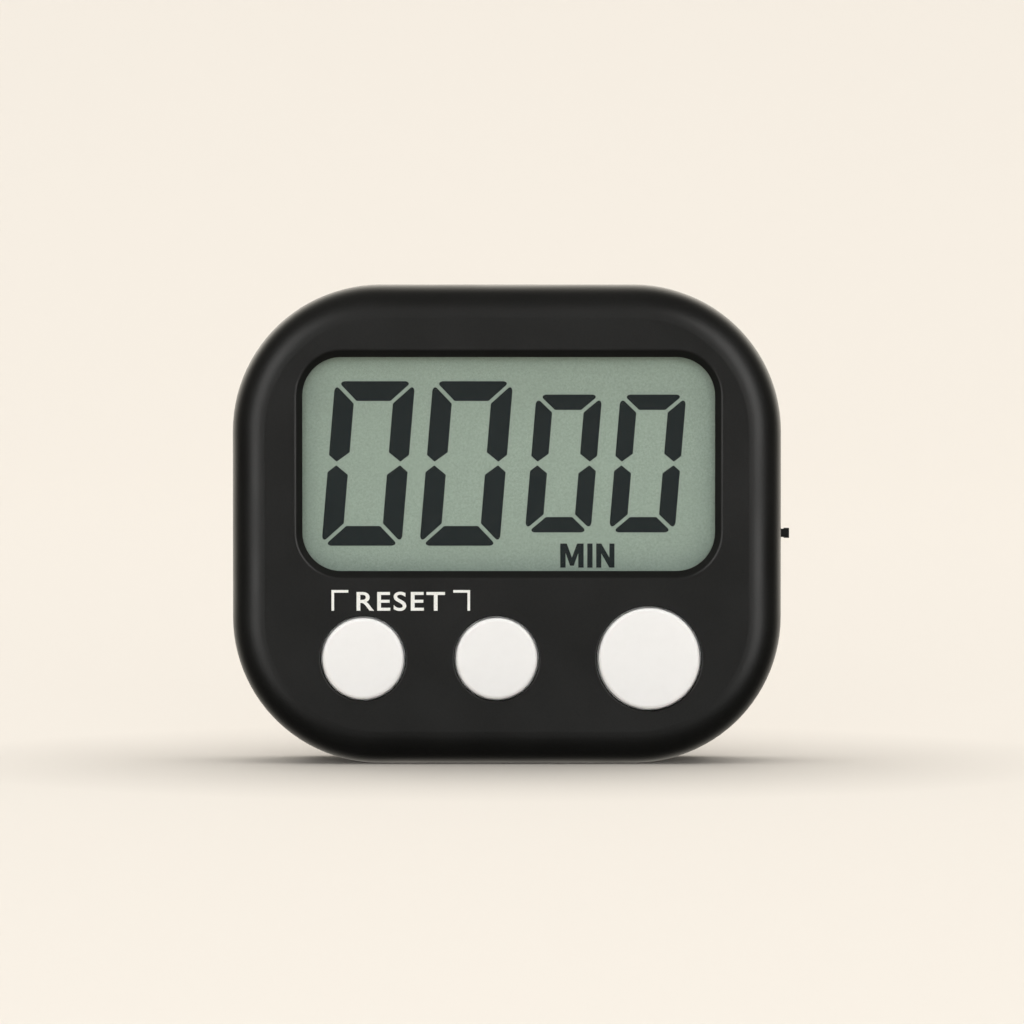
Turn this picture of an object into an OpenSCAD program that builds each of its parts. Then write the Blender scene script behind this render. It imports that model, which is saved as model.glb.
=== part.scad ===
// Digital kitchen timer with a large display, three push buttons, a side slide switch,
// a sliding battery door, a fold-out stand and two magnets on its back.
//
// Every part is drawn lying on its back: x runs to the right, y up the face from the base,
// and z towards the viewer. upright() then stands the part up, so that the front faces -Y
// and the flat base is at Z = 0.

/* [Body] */
// Width of the body
case_w = 75; // [70:1:90]
// Height of the body
case_h = 65.4; // [62:0.2:79]
// Depth from the front face to the back face
case_d = 20; // [19:0.5:24]
// Radius of the four corners
corner_r = 20; // [17:0.5:24]
// Rounding of the front edge
front_round = 4.5; // [3.5:0.1:5.4]
// Rounding of the back edge
back_round = 3; // [2.5:0.1:3.5]
// Thickness of the side walls
wall = 1.8; // [1.5:0.1:2.2]
// Thickness of the front wall
front_wall = 1.5; // [1.3:0.1:1.8]
// Thickness of the back wall
back_wall = 1.8; // [1.6:0.1:2]

/* [Display] */
// Width of the visible window
window_w = 56.3; // [46:0.1:58]
// Height of the visible window
window_h = 29.2; // [24:0.1:30]
// Corner radius of the visible window
window_r = 5.3; // [3:0.1:8]
// Distance from the top of the body down to the window
window_top_gap = 9.8; // [9.4:0.1:13]
// Sideways offset of the window
window_x = 0.25; // [-0.5:0.05:0.5]
// Width of the bevel round the window
bevel_w = 0.9; // [0.5:0.1:1.2]
// Depth of the bevel round the window
bevel_d = 0.8; // [0.4:0.1:1]
// Slant of the digits in degrees
digit_slant = 4.8; // [0:0.2:8]

/* [Buttons] */
// Diameter of the two small buttons
small_button_d = 11.1; // [9:0.1:12.5]
// Diameter of the large button
large_button_d = 13.8; // [11:0.1:14.4]
// Height of the button row above the base
button_height = 14.5; // [13.5:0.1:16]
// Place of the minute button
minute_x = -19.6; // [-21:0.1:-18]
// Place of the second button
second_x = -1.4; // [-3:0.1:0]
// Place of the start button
start_x = 19.4; // [17.5:0.1:19.6]
// Gap round each button in its hole
button_gap = 0.22; // [0.15:0.01:0.35]
// How far the buttons stand out of the face
button_proud = 0.6; // [0.4:0.1:1]
// Travel of a button
button_travel = 0.8; // [0.5:0.05:0.9]

/* [Slide switch] */
// Height of the middle of the switch above the base
switch_height = 32.15; // [30:0.05:34]
// Travel of the switch lever
switch_travel = 1.5; // [1:0.1:2]
// How far the lever stands out of the side
lever_proud = 1.2; // [0.8:0.1:1.6]
// Height of the lever along the side
lever_h = 1.37; // [1:0.01:1.6]

/* [Battery] */
// Diameter of the cell
cell_d = 10.5; // [10:0.1:10.6]
// Length of the cell with its terminal
cell_l = 44.5; // [43:0.1:45]
// Height of the middle of the cell above the base
cell_height = 38; // [37.5:0.1:39]
// Thickness of the battery door
door_t = 1.5; // [1.3:0.05:1.6]

/* [Back] */
// Outer width of the stand
stand_w = 30; // [26:0.5:34]
// Length of the stand from its pivot to its tip
stand_l = 20; // [18:0.5:20.4]
// Height of the stand's pivot above the base
pivot_height = 8.5; // [8:0.1:8.6]
// Diameter of the stand's pivot pins
pivot_d = 2; // [1.8:0.1:2.2]
// Diameter of the magnets
magnet_d = 12; // [8:0.5:12.5]
// Thickness of the magnets
magnet_t = 2; // [1.5:0.1:2.4]
// How far the magnets stand out of the back
magnet_proud = 0.3; // [0.1:0.05:0.5]

/* [Hidden] */
$fn = 64;
eps = 0.01;

front = case_d / 2;                  // height of the front face
back = -case_d / 2;                  // height of the back face
front_in = front - front_wall;       // inner side of the front wall
back_in = back + back_wall;          // inner side of the back wall
mid_y = case_h / 2;

// Fits
run_gap = 0.3;                       // between flat faces that move past each other
pin_gap = 0.05;                      // round a pin or a screw
glue_gap = 0.05;                     // between parts that are bonded or pressed together

// Layers of the display, each counted down from the one in front of it
tape_t = 0.15;
lens_t = 1;
film_t = 0.2;
glass_t = 0.7;
cell_gap = 0.06;
lens_margin = 1.5;                   // how far the lens and the glass reach past the window
ledge_h = 2.4;                       // contact ledge below the rear glass
film_inset = 0.5;                    // from the edge of the glass to the edge of the films
tape_clear = 0.2;                    // from the window's edge to the tape
strip_low = 0.2;                     // from the edge of the glass to the rubber strip
strip_high = 0.4;                    // from the rubber strip to the rear glass
strip_end = 2;                       // from the end of the glass to the end of the rubber strip
foam_end = 4;                        // from the end of the glass to the end of the foam
foam_from = 2;                       // from the top of the glass to the foam
foam_w = 4;
lens_top = front_in - tape_t;
lens_low = lens_top - lens_t;
front_film_low = lens_low - run_gap - film_t;
front_glass_low = front_film_low - glass_t;
segments_low = front_glass_low - cell_gap;
rear_glass_low = segments_low - glass_t;
reflector_low = rear_glass_low - film_t;
edge_round = 0.6;                    // rounding of the bevel's outer edge
ARC_STEPS = 5;
window_y = case_h - window_top_gap - window_h / 2;
glass_w = window_w + 2 * lens_margin;
glass_h = window_h + 2 * lens_margin;
glass_bottom = window_y - glass_h / 2 - ledge_h;

// Digits, which read zero: width, height, thickness of the upright bars and of the level bars
big_digit = [10.95, 22.5, 2.8, 2.7];
small_digit = [9, 18.85, 2.35, 2.1];
BIG_DIGITS_X = [-19.2, -5.8];        // middle of each digit, from the middle of the window
SMALL_DIGITS_X = [7.5, 19];
bar_gap = 0.5;                       // between two bars
corner_gap = 0.71 * bar_gap;         // the same, half of it measured along a bar
digit_round = 1.3;                   // corner of a digit
tip_share = 0.4;                     // the pointed end of an upright bar: where its tip is across
outer_slope = 0.33;                  // the bar, and how far its outer and inner corners are from
inner_slope = 0.46;                  // the tip, as shares of the bar's thickness

// Circuit board
board_t = 1;
board_gap = 1.7;                     // from the board's edge to the side wall
board_to_film = 0.59;                // foam between the board and the display
board_top = reflector_low - board_to_film;
board_low = board_top - board_t;

// What the board carries on its back: middle of each part, and length, width and height
blob_r = 4.5;
blob_top_r = 3.2;
blob_t = 1.3;
chip_at = [0, case_h - 13.4];
crystal_r = 1;
crystal_l = 6;
crystal_at = chip_at + [10, 0];
capacitor = [1.6, 0.8, 0.8];
resistor = [1.6, 0.8, 0.45];
transistor = [3, 1.4, 1];
capacitors_at = [for (p = [[-9, 2], [-9, -2], [20, 2]]) chip_at + p];
coil_at = [-20, 20];
coil_r = 3;
winding_r = 2.3;
coil_h = 4.8;
coil_flange = 0.8;
transistor_at = coil_at + [-1.5, -6];
resistors_at = [for (p = [[-13, 2], [-13, -2], [20, -2]]) chip_at + p, coil_at + [0, 6]];

// Seam between the two shells, level with the switch's back
switch_t = 1.4;
seam = board_low - switch_t;
seam_round = 0.2;                    // rounding of both shells' edges at the seam
tongue_t = 0.8;                      // lip of the rear shell inside the front shell
tongue_h = 1.2;
tongue_gap = 0.1;
lip_wall = wall - tongue_t - tongue_gap; // front shell's wall beside the tongue
inner_w = case_w - 2 * wall;
inner_h = case_h - 2 * wall;
inner_r = corner_r - wall;
front_in_round = front_round - front_wall;
back_in_round = back_round - back_wall;

// Shell screws: two near the bottom corners and two near the top ones
boss_edge = 4;
boss_r = 2.8;
rear_boss_r = 3.4;
screw_r = 0.95;
screw_head_r = 1.9;
screw_head_t = 1.4;
screw_l = 10;
screw_sink = 6.6;                    // how deep the heads sit below the back face
sink_r = 2.3;
corner_x = case_w / 2 - corner_r;
corner_low_y = corner_r;
corner_high_y = case_h - corner_r;
boss_reach = corner_r - boss_edge;
LOW_ANGLE = 45;
HIGH_ANGLE = 70;
shell_screws = [for (side = [-1, 1], level = [0, 1])
    level == 0
        ? [side * (corner_x + boss_reach * cos(LOW_ANGLE)), corner_low_y - boss_reach * sin(LOW_ANGLE)]
        : [side * (corner_x + boss_reach * cos(HIGH_ANGLE)), corner_high_y + boss_reach * sin(HIGH_ANGLE)]];

// Board screws: beside the display and between it and the buttons
board_boss_r = 2.1;
board_screw_l = 4;
board_screw_head_r = 1.8;
board_screw_head_t = 1.2;
boss_to_glass = 0.35;                // from the side bosses to the edge of the glass
boss_to_edge = 6.5;                  // from the low screws to the side of the body
boss_lift = 7;                       // from the window's middle up to the side screws
side_boss_x = window_x + glass_w / 2 + board_boss_r + boss_to_glass;
low_boss_x = case_w / 2 - boss_to_edge;
low_boss_rise = 4.9;                 // from the button row up to the low board screws
low_boss_y = min(glass_bottom - board_boss_r - 1, button_height + low_boss_rise);
board_screws_at = [for (side = [-1, 1], level = [0, 1])
    level == 0 ? [side * low_boss_x, low_boss_y] : [side * side_boss_x, window_y + boss_lift]];

// Buttons and keypad
hole_round = 0.25;                   // rounding of the front edge of each hole
flange_rim = 0.55;                   // flange past the hole's edge
flange_t = 0.8;
flange_gap = 0.15;                   // round the flange in its guide
button_edge = 0.5;                   // rounding of a button's front edge
guide_t = 0.8;
stem_r = 2.6;
stem_t = 0.4;
mat_t = 0.8;
dome_r = 4.1;                        // inner radius of a dome at its foot
dome_wall = 0.5;
dome_top_r = 3;
dome_roof = 0.4;
pill_r = 1.8;
pill_t = 0.4;
flange_top = front_in - 0.1;
flange_low = flange_top - flange_t;
stem_low = flange_low - stem_t;
dome_top = stem_low - 0.1;
pill_top = board_top + glue_gap + button_travel + pill_t;
dome_low = pill_top + glue_gap;
mat_w = 52;
mat_top_y = glass_bottom - 1.4;
mat_low_y = 5.8;
buttons = [[minute_x, small_button_d], [second_x, small_button_d], [start_x, large_button_d]];

// Slide switch
switch_l = 6.6;
switch_w = 2.7;
lever_t = 0.9;
lever_z = seam + switch_t / 2;
switch_to_edge = 3.2;                // from the housing to the side of the body
switch_x = case_w / 2 - switch_to_edge - switch_w / 2;
lever_root = switch_x - 0.1;
lever_rest_y = switch_height - switch_travel / 2;
slot_gap = 0.25;
lever_gap = 0.08;                    // round the lever in its housing
lever_end_gap = 0.15;                // past the lever at each end of its travel
switch_wall = 0.3;
block_l = 0.65;                      // lever's block, inwards from its root
block_nose = 0.4;                    // lever's block, outwards from its root
block_step = 0.5;                    // how far the block is wider than the tip, each way
neck_in = 0.12;                      // how far the neck is narrower than the tip, each way
neck_l = 0.45;                       // how much of the neck shows

// Battery bay
cell_r = cell_d / 2;
door_in = back + door_t;             // inner side of the door
cell_z = door_in + 0.2 + cell_r;
bay_gap = 0.3;                       // round the cell
bay_wall = 1;
bay_floor = cell_z + cell_r + bay_gap;
bay_roof = 0.8;                      // wall over the bay's floor
bay_half = cell_r + bay_gap;
spring_l = 4.1;
plate_t = 0.4;
nub_l = 0.8;
nub_r = 1.9;
bay_left = -25.5;
cell_left = bay_left + glue_gap + plate_t + spring_l + glue_gap;
cell_right = cell_left + cell_l;
dimple_l = 0.4;
bay_right = cell_right + glue_gap + dimple_l + plate_t + glue_gap;
plate_w = 8;
tab_w = 2;
tab_z = bay_floor - 1.9;
tab_l = 2.7;
tab_gap = 0.2;

// Conical spring at the cell's flat end
spring_wire_r = 0.3;
spring_wide_r = 3.6;
spring_narrow_r = 2;
SPRING_TURNS = 4;
TURN_STEPS = 16;
spring_from = bay_left + 2 * glue_gap + plate_t + spring_wire_r;
spring_reach = spring_l - 2 * spring_wire_r - glue_gap;
spring_points = [for (i = [0 : TURN_STEPS * SPRING_TURNS])
    let (part = i / (TURN_STEPS * SPRING_TURNS), turn = 360 * SPRING_TURNS * part,
        r = spring_wide_r + (spring_narrow_r - spring_wide_r) * part)
    [spring_from + spring_reach * part, cell_height + r * cos(turn), cell_z + r * sin(turn)]];

// Battery door and its rails
door_gap = 0.15;
door_rail = 0.8;                     // how far a rail reaches past the door's edge
door_rail_t = 0.8;
door_half = bay_half + 1.25;
door_left = bay_left + 1;
door_bed = 1.6;                      // thickness of the bed under the door
bed_rim = 2.2;                       // how far the bed reaches past the door's edge
grip_x = 24;                         // ridged patch for a thumb
grip_half = 4;
ridge_w = 0.8;
ridge_deep = 0.4;
RIDGES = 5;
bed_low = door_in + door_gap + door_bed;

// Stand and its pocket
stand_t = 2.2;
stand_leg = 4.5;
stand_bar = 5;
stand_gap = 0.3;
stand_sink = 0.1;                    // how far the stand lies below the back face
pivot_z = back + stand_sink + stand_t / 2;
pivot_l = 1.5;
pocket_floor = back + stand_sink + stand_t + stand_gap;
pocket_low_y = pivot_height - stand_t / 2 - 0.7;
pocket_high_y = pivot_height + stand_l + stand_gap;
pocket_wall = 1.2;
pin_wall = 2;                        // past the end of each pin
stand_groove_w = 0.6;
stand_groove_half = 6;
island_half = stand_w / 2 - stand_leg - stand_gap;
island_top = pivot_height + stand_l - stand_bar - stand_gap;
notch_w = 9;
notch_h = 1.6;

// Sounder behind the island in the middle of the stand
sound_y = (pocket_low_y + island_top) / 2;
chamber_r = 7;
chamber_floor = back + 1.2;
buzzer_r = 9;
buzzer_t = 0.25;
ceramic_r = 6.5;
ceramic_t = 0.2;
ring_top = pocket_floor + pocket_wall;
sound_hole_r = 0.7;
sound_ring_r = 3.6;
SOUND_HOLES = 8;

// Magnets
magnet_x = 11.5;
magnet_y = case_h - 10.9;
magnet_gap = 0.1;
magnet_top = back - magnet_proud + magnet_t;
cup_wall = 1;
cup_floor = 1.2;

// Leads: points chosen by hand, each with its depth as a share of the way from the lead's start
// to the board
lead_r = 0.4;
lead_gap = 0.1;
board_end = board_low - lead_gap;
function depths(points, from, to) = [for (p = points) [p[0], p[1], from + p[2] * (to - from)]];
red_battery_route = depths([[26.2, 38, 0], [26.2, 38, 0.17], [27.3, 37.2, 0.4], [28.6, 35, 0.5],
    [29.3, 32, 0.6], [29.3, 30, 0.7], [29.3, 29.4, 0.85], [29.3, 29.3, 1]],
    tab_z + plate_t / 2 + glue_gap, board_end);
black_battery_route = [for (p = red_battery_route) [-p[0] - 1, p[1], p[2]]];
red_buzzer_route = depths([[-3, 15, 0], [-3, 15, 0.06], [-4.5, 16.5, 0.18], [-7, 19, 0.3], [-9, 22, 0.5],
    [-9.5, 23.5, 0.75], [-9.5, 24, 0.92], [-9.5, 24, 1]],
    ring_top + buzzer_t + ceramic_t + lead_gap, board_end);
black_buzzer_route = depths([[-7.8, 15, 0], [-7.8, 15, 0.06], [-9.5, 15.8, 0.16], [-12, 17.5, 0.3],
    [-13, 20, 0.52], [-13, 22.5, 0.75], [-13, 23, 0.92], [-13, 23, 1]],
    ring_top + buzzer_t + lead_gap, board_end);

// ---------------------------------------------------------------- helpers

// Stands a part that was drawn lying on its back on its base
module upright() rotate([90, 0, 0]) children();

// Straight extrusion of an outline from one height to another
module slab(low, high) translate([0, 0, low]) linear_extrude(high - low) children();

// Round rod along the depth
module rod(at, r, low, high) translate([at[0], at[1], low]) cylinder(r = r, h = high - low);

// Box given by two opposite corners
module box(from, to) translate(from) cube(to - from);

// Rectangle with round corners, centred on the middle
module rounded_rect(w, h, r) {
    square([w, h - 2 * r], center = true);
    square([w - 2 * r, h], center = true);
    for (sx = [-1, 1], sy = [-1, 1]) translate([sx * (w / 2 - r), sy * (h / 2 - r)]) circle(r);
}

// Solid with a rounded rectangular outline; its child is the profile of the edge, with x from the
// centre of a corner outwards to r, and y the height
module rounded_solid(w, h, r, low, high) {
    for (quarter = [0 : 3]) {
        across = quarter % 2 == 0 ? w : h;
        along = quarter % 2 == 0 ? h : w;
        rotate(90 * quarter) {
            translate([across / 2 - r, along / 2 - r, 0]) {
                rotate_extrude(angle = 90) children();
                rotate([90, 0, 0]) linear_extrude(along - 2 * r) children();
            }
        }
    }
    box([r - w / 2, r - h / 2, low], [w / 2 - r, h / 2 - r, high]);
}

// Profile of an edge: straight from one height to another, with either end rounded
module edge_profile(reach, low, high, low_round, high_round) {
    difference() {
        translate([0, low]) square([reach, high - low]);
        if (high_round > 0)
            difference() {
                translate([reach - high_round, high - high_round]) square(high_round + 1);
                translate([reach - high_round, high - high_round]) circle(high_round);
            }
        if (low_round > 0)
            difference() {
                translate([reach - low_round, low - 1]) square(low_round + 1);
                translate([reach - low_round, low + low_round]) circle(low_round);
            }
    }
}

// Outer shape of the body between two heights
module body_outer(low, high, low_round, high_round)
    translate([0, mid_y, 0]) rounded_solid(case_w, case_h, corner_r, low, high)
        edge_profile(corner_r, low, high, low_round, high_round);

// Hollow of the body between two heights
module body_inner(low, high, low_round, high_round)
    translate([0, mid_y, 0]) rounded_solid(inner_w, inner_h, inner_r, low, high)
        edge_profile(inner_r, low, high, low_round, high_round);

// Wall of constant thickness that follows the body's outline, a set distance inside it
module ring_wall(inset, thick, low, high)
    translate([0, mid_y, 0]) slab(low, high) difference() {
        rounded_rect(case_w - 2 * inset, case_h - 2 * inset, corner_r - inset);
        rounded_rect(case_w - 2 * (inset + thick), case_h - 2 * (inset + thick), corner_r - inset - thick);
    }

function unit(v) = v / norm(v);
function direction(p, i) = unit(p[min(i + 1, len(p) - 1)] - p[max(i - 1, 0)]);

// Ring of points round a place on a path
function ring(at, along, r, sides) =
    let (side = unit(cross(along, [0.31, 0.17, 0.93])), up = cross(side, along))
    [for (k = [0 : sides - 1]) at + r * (cos(360 * k / sides) * side + sin(360 * k / sides) * up)];

// Round tube swept along a list of points
module tube(points, r, sides) {
    rings = len(points);
    shape = [for (i = [0 : rings - 1]) each ring(points[i], direction(points, i), r, sides)];
    walls = [for (i = [0 : rings - 2], k = [0 : sides - 1])
        let (a = i * sides + k, b = i * sides + (k + 1) % sides) [a, b, b + sides, a + sides]];
    first = [for (k = [0 : sides - 1]) sides - 1 - k];
    last = [for (k = [0 : sides - 1]) (rings - 1) * sides + k];
    polyhedron(points = shape, faces = concat([first], walls, [last]), convexity = 4);
}

// ---------------------------------------------------------------- shells

// Bevel round the window; its outer edge runs into the face in a small arc
module window_bevel() {
    angle = atan(bevel_d / bevel_w);
    lip = edge_round * tan(angle / 2);
    reach = window_r + bevel_w + lip;
    grow = bevel_w + lip;
    arc = [for (step = [ARC_STEPS : -1 : 0])
        let (turn = angle * step / ARC_STEPS)
        [reach - edge_round * sin(turn), front - edge_round * (1 - cos(turn))]];
    translate([window_x, window_y, 0])
        rounded_solid(window_w + 2 * grow, window_h + 2 * grow, reach, front - bevel_d, front + 1)
            polygon(concat([[0, front - bevel_d], [window_r, front - bevel_d]], arc,
                [[reach, front + 1], [0, front + 1]]));
}

// Rounded front edge of a button's hole
module hole_edge(at, r) translate([at[0], at[1], 0]) rotate_extrude() difference() {
    translate([0, front - hole_round]) square([r + hole_round, hole_round + 1]);
    translate([r + hole_round, front - hole_round]) circle(hole_round);
}

module button_guide(at, hole_r) {
    inner = hole_r + flange_rim + flange_gap;
    difference() {
        rod(at, inner + guide_t, flange_low - 0.1, front_in + 0.2);
        rod(at, inner, flange_low - 1, front_in + 1);
    }
}

module front_case() color("#282725") upright() difference() {
    union() {
        difference() {
            body_outer(seam, front, seam_round, front_round);
            body_inner(seam - 1, front_in, 0, front_in_round);
            slab(seam - 1, seam + tongue_h + tongue_gap) translate([0, mid_y])
                rounded_rect(case_w - 2 * lip_wall, case_h - 2 * lip_wall, corner_r - lip_wall);
        }
        intersection() {
            union() {
                for (at = shell_screws) rod(at, boss_r, seam + eps, front_in + 0.5);
                for (at = board_screws_at) rod(at, board_boss_r, board_top, front_in + 0.5);
            }
            body_inner(seam - 1, front_in + 0.5, 0, front_in_round);
        }
        for (b = buttons) button_guide([b[0], button_height], b[1] / 2 + button_gap);
    }
    for (b = buttons) {
        hole_edge([b[0], button_height], b[1] / 2 + button_gap);
        rod([b[0], button_height], b[1] / 2 + button_gap, front_in - 1, front + 1);
        rod([b[0], button_height], b[1] / 2 + button_gap + flange_rim + flange_gap, flange_low - 1, front_in);
    }
    translate([window_x, window_y, 0]) slab(front_in - 1, front + 1)
        rounded_rect(window_w, window_h, window_r);
    window_bevel();
    for (at = shell_screws) rod(at, screw_r + pin_gap, seam - 1, seam + screw_l - screw_sink + 1);
    for (at = board_screws_at) rod(at, screw_r + pin_gap, board_top - 1, board_low + board_screw_l + 0.4);
    box([case_w / 2 - wall - 1, lever_rest_y - lever_h / 2 - slot_gap, seam - 1],
        [case_w / 2 + 1, lever_rest_y + switch_travel + lever_h / 2 + slot_gap, board_low]);
}

module door_track() {
    // Bed of the door's plate, open at the right side of the body
    box([door_left - door_gap, cell_height - door_half - door_gap, back - 1],
        [case_w, cell_height + door_half + door_gap, door_in + door_gap]);
    // Grooves of its two rails, under the edge of the back wall
    box([door_left - door_gap, cell_height - door_half - door_rail - door_gap, door_in - door_rail_t],
        [case_w, cell_height + door_half + door_rail + door_gap, door_in + door_gap]);
}

module stand_outline(grow) {
    difference() {
        translate([-stand_w / 2 - grow, pocket_low_y])
            square([stand_w + 2 * grow, pivot_height + stand_l + grow - pocket_low_y]);
        translate([-island_half - stand_gap + grow, pocket_low_y - 1])
            square([2 * (island_half + stand_gap - grow), island_top + stand_gap - grow - pocket_low_y + 1]);
    }
}

module rear_case() color("#262523") upright() difference() {
    union() {
        difference() {
            body_outer(back, seam, back_round, seam_round);
            body_inner(back_in, seam + 1, back_in_round, 0);
        }
        ring_wall(wall - tongue_t, tongue_t, seam - 2, seam + tongue_h);
        intersection() {
            union() {
                for (at = shell_screws) rod(at, rear_boss_r, back_in - 0.5, seam - eps);
                // Walls of the battery bay and the bed of its door
                box([bay_left - bay_wall, cell_height - bay_half - bay_wall, back_in - 0.5],
                    [bay_right + bay_wall, cell_height + bay_half + bay_wall, bay_floor + bay_roof]);
                box([bay_left - bay_wall, cell_height - door_half - bed_rim, back_in - 0.5],
                    [case_w, cell_height + door_half + bed_rim, bed_low]);
                // Block behind the stand's pocket, with the ring that the sounder sits on
                box([-stand_w / 2 - pivot_l - pin_wall, pocket_low_y - pocket_wall, back_in - 0.5],
                    [stand_w / 2 + pivot_l + pin_wall, cell_height - door_half, ring_top]);
                // Cups of the magnets
                for (side = [-1, 1])
                    rod([side * magnet_x, magnet_y], magnet_d / 2 + magnet_gap + cup_wall, back_in - 0.5,
                        magnet_top + cup_floor);
            }
            body_outer(back, bay_floor + 2, back_round, 0);
        }
    }
    // Bay of the cell, with a slot in each end wall for the contact's tab
    box([bay_left, cell_height - bay_half, back - 1], [bay_right, cell_height + bay_half, bay_floor]);
    box([bay_left - bay_wall - 1, cell_height - tab_w / 2 - tab_gap, tab_z - plate_t / 2 - tab_gap],
        [bay_right + bay_wall + 1, cell_height + tab_w / 2 + tab_gap, tab_z + plate_t / 2 + tab_gap]);
    door_track();
    // Pocket of the stand, the holes of its pins, and the notch for a fingernail
    slab(back - 1, pocket_floor) stand_outline(stand_gap);
    translate([-stand_w / 2 - stand_gap - pivot_l, pivot_height, pivot_z]) rotate([0, 90, 0])
        cylinder(r = pivot_d / 2 + pin_gap, h = stand_w + 2 * (stand_gap + pivot_l));
    box([-notch_w / 2, pivot_height + stand_l, back - 1],
        [notch_w / 2, pivot_height + stand_l + stand_gap + notch_h, pocket_floor]);
    // Chamber and holes of the sounder
    rod([0, sound_y], chamber_r, chamber_floor, ring_top + 1);
    rod([0, sound_y], sound_hole_r, back - 1, chamber_floor + 1);
    for (k = [0 : SOUND_HOLES - 1])
        rod([sound_ring_r * cos(360 * k / SOUND_HOLES), sound_y + sound_ring_r * sin(360 * k / SOUND_HOLES)],
            sound_hole_r, back - 1, chamber_floor + 1);
    for (side = [-1, 1])
        rod([side * magnet_x, magnet_y], magnet_d / 2 + magnet_gap, back - 1, magnet_top + glue_gap);
    for (at = shell_screws) {
        rod(at, sink_r, back - 1, back + screw_sink);
        rod(at, screw_r + 2 * pin_gap, back, seam + 1);
    }
    // Way of the switch's lever through the lip
    box([case_w / 2 - wall - 2, switch_height - switch_l / 2 - slot_gap, seam],
        [case_w / 2, switch_height + switch_l / 2 + slot_gap, seam + 3]);
}

// ---------------------------------------------------------------- display

module glass_outline(bottom) {
    top = window_y + glass_h / 2;
    translate([window_x - glass_w / 2, bottom]) square([glass_w, top - bottom]);
}

module film_outline() square([glass_w - 2 * film_inset, glass_h - 2 * film_inset], center = true);

module window_tape() color("#1a1a1a") upright() translate([window_x, window_y, 0])
    slab(lens_top, front_in) difference() {
        rounded_rect(glass_w, glass_h, window_r + lens_margin);
        rounded_rect(window_w + 2 * tape_clear, window_h + 2 * tape_clear, window_r + tape_clear);
    }

module display_window() color("#dfe6e0", 0.25) upright() translate([window_x, window_y, 0])
    slab(lens_low, lens_top) rounded_rect(glass_w, glass_h, window_r + lens_margin);

module front_polarizer() color("#9aa89a", 0.4) upright() translate([window_x, window_y, 0])
    slab(front_film_low, front_film_low + film_t) film_outline();

module lcd_front_glass() color("#b9c7bb", 0.4) upright() slab(front_glass_low, front_film_low)
    glass_outline(glass_bottom);

module lcd_rear_glass() color("#8f9e90") upright() slab(rear_glass_low, segments_low)
    glass_outline(glass_bottom + ledge_h);

module rear_reflector() color("#a3ab9f") upright() translate([window_x, window_y, 0])
    slab(reflector_low, rear_glass_low) film_outline();

// Upright bar of a digit: from the middle of the digit up its right side
module upright_bar(w, h, side, level) polygon([
    [w, bar_gap / 2 + outer_slope * side],
    [w, h - corner_gap],
    [w - side, h - level - corner_gap],
    [w - side, bar_gap / 2 + inner_slope * side],
    [w - tip_share * side, bar_gap / 2]]);

// Level bar at the top of a digit
module level_bar(w, h, side, level) polygon([
    [corner_gap - w, h],
    [w - corner_gap, h],
    [w - side - corner_gap, h - level],
    [side + corner_gap - w, h - level]]);

// Rectangle with round corners as one polygon, which can be leant over
module round_outline(w, h, r) polygon([for (turn = [0 : 3], k = [0 : ARC_STEPS])
    let (a = 90 * turn + 90 * k / ARC_STEPS, sx = sign(cos(90 * turn + 45)), sy = sign(sin(90 * turn + 45)))
        [sx * (w / 2 - r) + r * cos(a), sy * (h / 2 - r) + r * sin(a)]]);

// Digit of six lit bars, which reads zero
module digit_bars(size) intersection() {
    union() {
        for (sx = [-1, 1], sy = [-1, 1])
            scale([sx, sy]) upright_bar(size[0] / 2, size[1] / 2, size[2], size[3]);
        for (sy = [-1, 1])
            scale([1, sy]) level_bar(size[0] / 2, size[1] / 2, size[2], size[3]);
    }
    round_outline(size[0], size[1], digit_round);
}

// Leans an outline to the right, as digits on a display do
module slanted(angle)
    multmatrix([[1, tan(angle), 0, 0], [0, 1, 0, 0], [0, 0, 1, 0], [0, 0, 0, 1]]) children();

module lcd_segments() color("#272d2e") upright() translate([window_x, window_y, 0])
    slab(segments_low, front_glass_low) slanted(digit_slant) {
        for (x = BIG_DIGITS_X) translate([x, 0]) digit_bars(big_digit);
        for (x = SMALL_DIGITS_X) translate([x, 0]) digit_bars(small_digit);
    }

module zebra_strip() color("#c98fa0") upright()
    box([window_x - glass_w / 2 + strip_end, glass_bottom + strip_low, board_top],
        [window_x + glass_w / 2 - strip_end, glass_bottom + ledge_h - strip_high, front_glass_low]);

module foam_pad() color("#3a3a3c") upright()
    box([window_x - glass_w / 2 + foam_end, window_y + glass_h / 2 - foam_from - foam_w, board_top],
        [window_x + glass_w / 2 - foam_end, window_y + glass_h / 2 - foam_from, reflector_low]);

// ---------------------------------------------------------------- circuit

module circuit_board() color("#2f6b3c") upright() slab(board_low, board_top) difference() {
    translate([0, mid_y]) rounded_rect(inner_w - 2 * board_gap, inner_h - 2 * board_gap, inner_r - board_gap);
    for (at = shell_screws) translate(at) circle(boss_r + 0.4);
    for (at = board_screws_at) translate(at) circle(screw_r + 2 * pin_gap);
}

module dome(at) {
    sheet_top = board_top + mat_t;
    rise = dome_low - sheet_top;
    difference() {
        union() {
            rod(at, dome_top_r, dome_low, dome_top);
            translate([at[0], at[1], sheet_top])
                cylinder(r1 = dome_r + dome_wall, r2 = dome_top_r, h = rise + dome_roof);
        }
        translate([at[0], at[1], sheet_top]) cylinder(r1 = dome_r, r2 = dome_top_r - dome_wall, h = rise);
    }
}

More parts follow.
